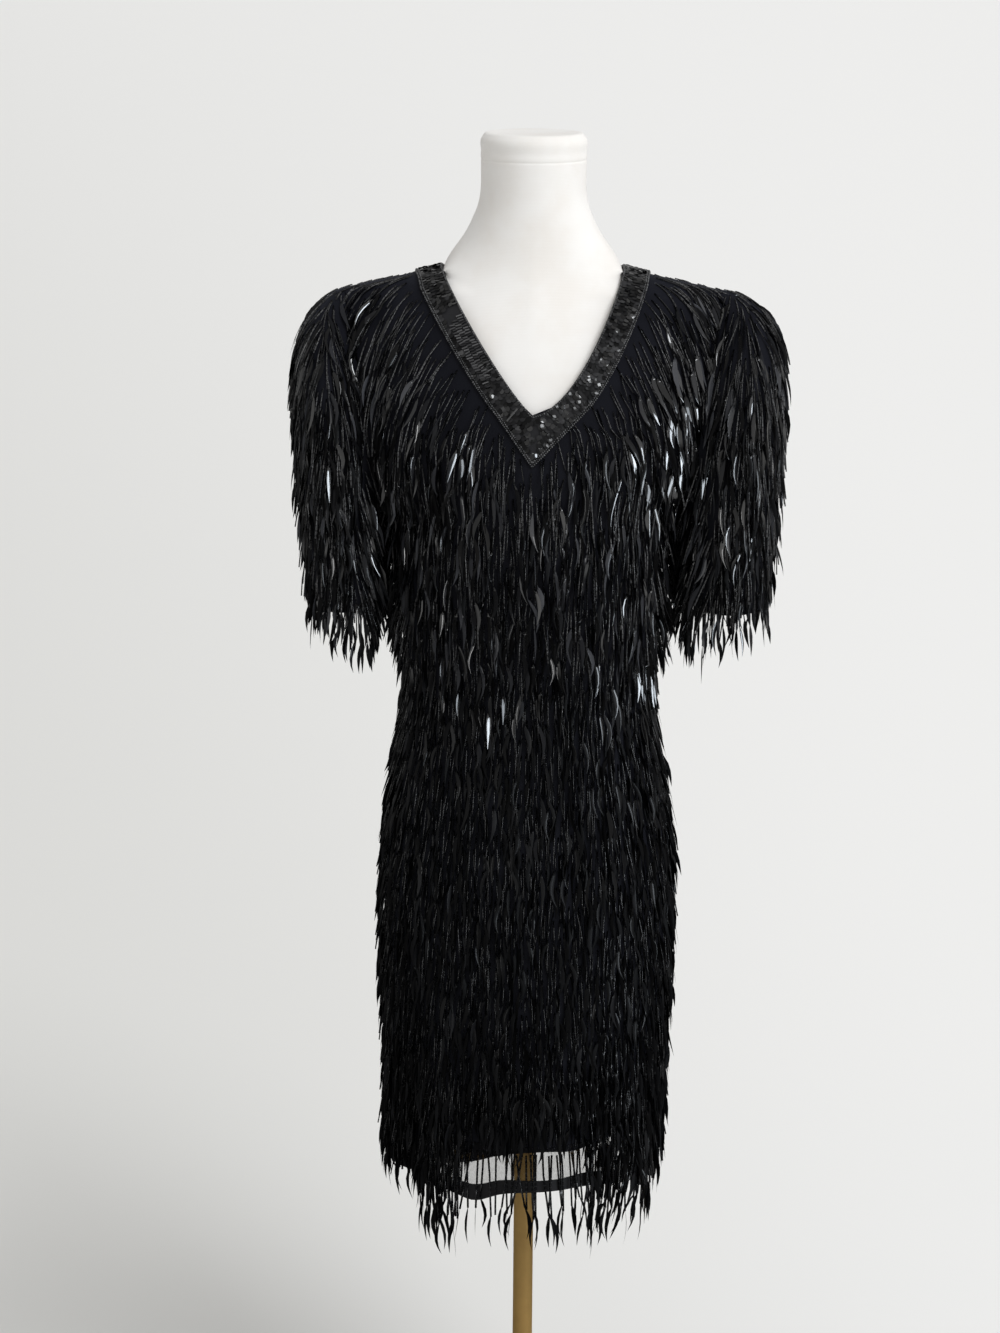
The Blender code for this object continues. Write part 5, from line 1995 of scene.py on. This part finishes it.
@dataclass
class Studio:
    """Pale floor with painted shade, soft light from the right and a camera at the photo's angle.
    """

    lens: float = 83.1
    distance: float = 3.2
    height: float = 1.79
    pitch: float = 14.5
    roll: float = 0.43
    aside: float = -0.031
    floor_radius: float = 70.0
    floor_sides: int = 96
    sky_colour: Colour = (0.97, 0.965, 0.95)
    sky: tuple[tuple[float, float], ...] = (
        (-0.14, 0.05), (-0.01, 0.78), (0.10, 0.66), (0.40, 0.50))
    sun_power: float = 2.1
    sun_angle: float = 38.0
    sun_from: Colour = (1.0, -0.80, 1.25)
    panels: tuple[Panel, ...] = (
        Panel("window_right", (2.2, -2.0, 0.95), (0, 0, 0.95), (0.50, 1.7), 28.0,
              (0.84, 0.92, 1.0)),
        Panel("window_high", (1.3, -2.2, 3.3), (0, 0, 1.3), (0.7, 0.7), 10.0, (0.94, 0.97, 1.0)),
        Panel("window_front", (-1.0, -3.3, 0.90), (0, 0, 0.90), (0.30, 1.3), 6.0, (1.0, 1.0, 1.0)))

    def build(self) -> None:
        """Floor, world, lights and camera."""
        self._floor()
        self._sky()
        self._lights()
        self._camera()

    def _floor(self) -> None:
        """A wide disc in rings that widen outwards."""
        turn = np.linspace(0, 2 * math.pi, self.floor_sides, endpoint=False)
        radii = np.array([0.5, 1.0, 2.0, 5.0, 15.0, self.floor_radius])
        ring = np.stack([np.cos(turn), np.sin(turn), 0 * turn], axis=-1)
        points = np.concatenate([(radii[:, None, None] * ring).reshape(-1, 3), [[0, 0, 0]]])
        faces = [grid_quads(len(radii), self.floor_sides, True)[:, ::-1],
                 fan(np.arange(self.floor_sides), len(points) - 1)]
        made = put_mesh("studio_floor", points, faces, PalePaper().build())
        made.location.z = -0.0005
        made.visible_glossy = False

    def _sky(self) -> None:
        """World light whose strength depends on the height in the sky, with a dark floor side."""
        world = bpy.data.worlds.new("studio")
        bpy.context.scene.world = world
        world.use_nodes = True
        tree = world.node_tree
        sky = tree.nodes["Background"]
        sky.inputs["Color"].default_value = (*self.sky_colour, 1)
        way = tree.nodes.new("ShaderNodeTexCoord").outputs["Generated"]
        split = tree.nodes.new("ShaderNodeSeparateXYZ")
        rise = tree.nodes.new("ShaderNodeMapRange")
        rise.inputs["From Min"].default_value = -1.0
        bands = tree.nodes.new("ShaderNodeValToRGB").color_ramp.elements
        for place, strength in self.sky:
            bands.new((place + 1) / 2).color = (strength, strength, strength, 1)
        bands.remove(bands[0])
        bands.remove(bands[-1])
        tree.links.new(way, split.inputs[0])
        tree.links.new(split.outputs["Z"], rise.inputs["Value"])
        tree.links.new(rise.outputs[0], tree.nodes["Color Ramp"].inputs["Fac"])
        tree.links.new(tree.nodes["Color Ramp"].outputs["Color"], sky.inputs["Strength"])

    def _lights(self) -> None:
        """A soft sun from the upper right, and three panels that only the glossy parts show."""
        sun = bpy.data.lights.new("sky_window", "SUN")
        sun.energy = self.sun_power
        sun.angle = math.radians(self.sun_angle)
        sun.color = (0.97, 0.985, 1.0)
        self._aim(sun, self.sun_from, (0, 0, 0)).visible_glossy = False
        for panel in self.panels:
            data = bpy.data.lights.new(panel.name, "AREA")
            data.shape = "RECTANGLE"
            data.size, data.size_y = panel.size
            data.energy = panel.power
            data.color = panel.colour
            self._aim(data, panel.place, panel.aim).visible_diffuse = False

    def _aim(self, data: bpy.types.Light, place: Colour, aim: Colour) -> bpy.types.Object:
        """Put a light at a place, turned to a point."""
        lamp = bpy.data.objects.new(data.name, data)
        lamp.location = place
        lamp.rotation_euler = (Vector(aim) - Vector(place)).to_track_quat("-Z", "Y").to_euler()
        bpy.context.scene.collection.objects.link(lamp)
        return lamp

    def _camera(self) -> None:
        """Camera in front and above, pitched down and rolled a little, as the photo was taken."""
        data = bpy.data.cameras.new("camera")
        data.sensor_width = 36.0
        data.lens = self.lens
        data.clip_end = 400.0
        camera = bpy.data.objects.new("camera", data)
        camera.location = (self.aside, -self.distance, self.height)
        turn = Euler((math.radians(90 - self.pitch), 0, 0)).to_matrix()
        lean = Euler((0, 0, math.radians(self.roll))).to_matrix()
        camera.rotation_euler = (turn @ lean).to_euler()
        bpy.context.scene.collection.objects.link(camera)
        bpy.context.scene.camera = camera
        bpy.context.scene.view_settings.view_transform = "Standard"


def main() -> None:
    """Build the studio first, then the stand, the form and the dress from the inside out."""
    logging.basicConfig(level=logging.INFO, format="%(message)s")
    body, sleeve = BodyShape(), SleeveShape()
    Studio().build()
    Stand().build()
    DressForm(body).build()
    Cloth(body, sleeve).build()
    NeckTrim(body).build()
    Fringe(body, sleeve).build()


if __name__ == "__main__":
    main()
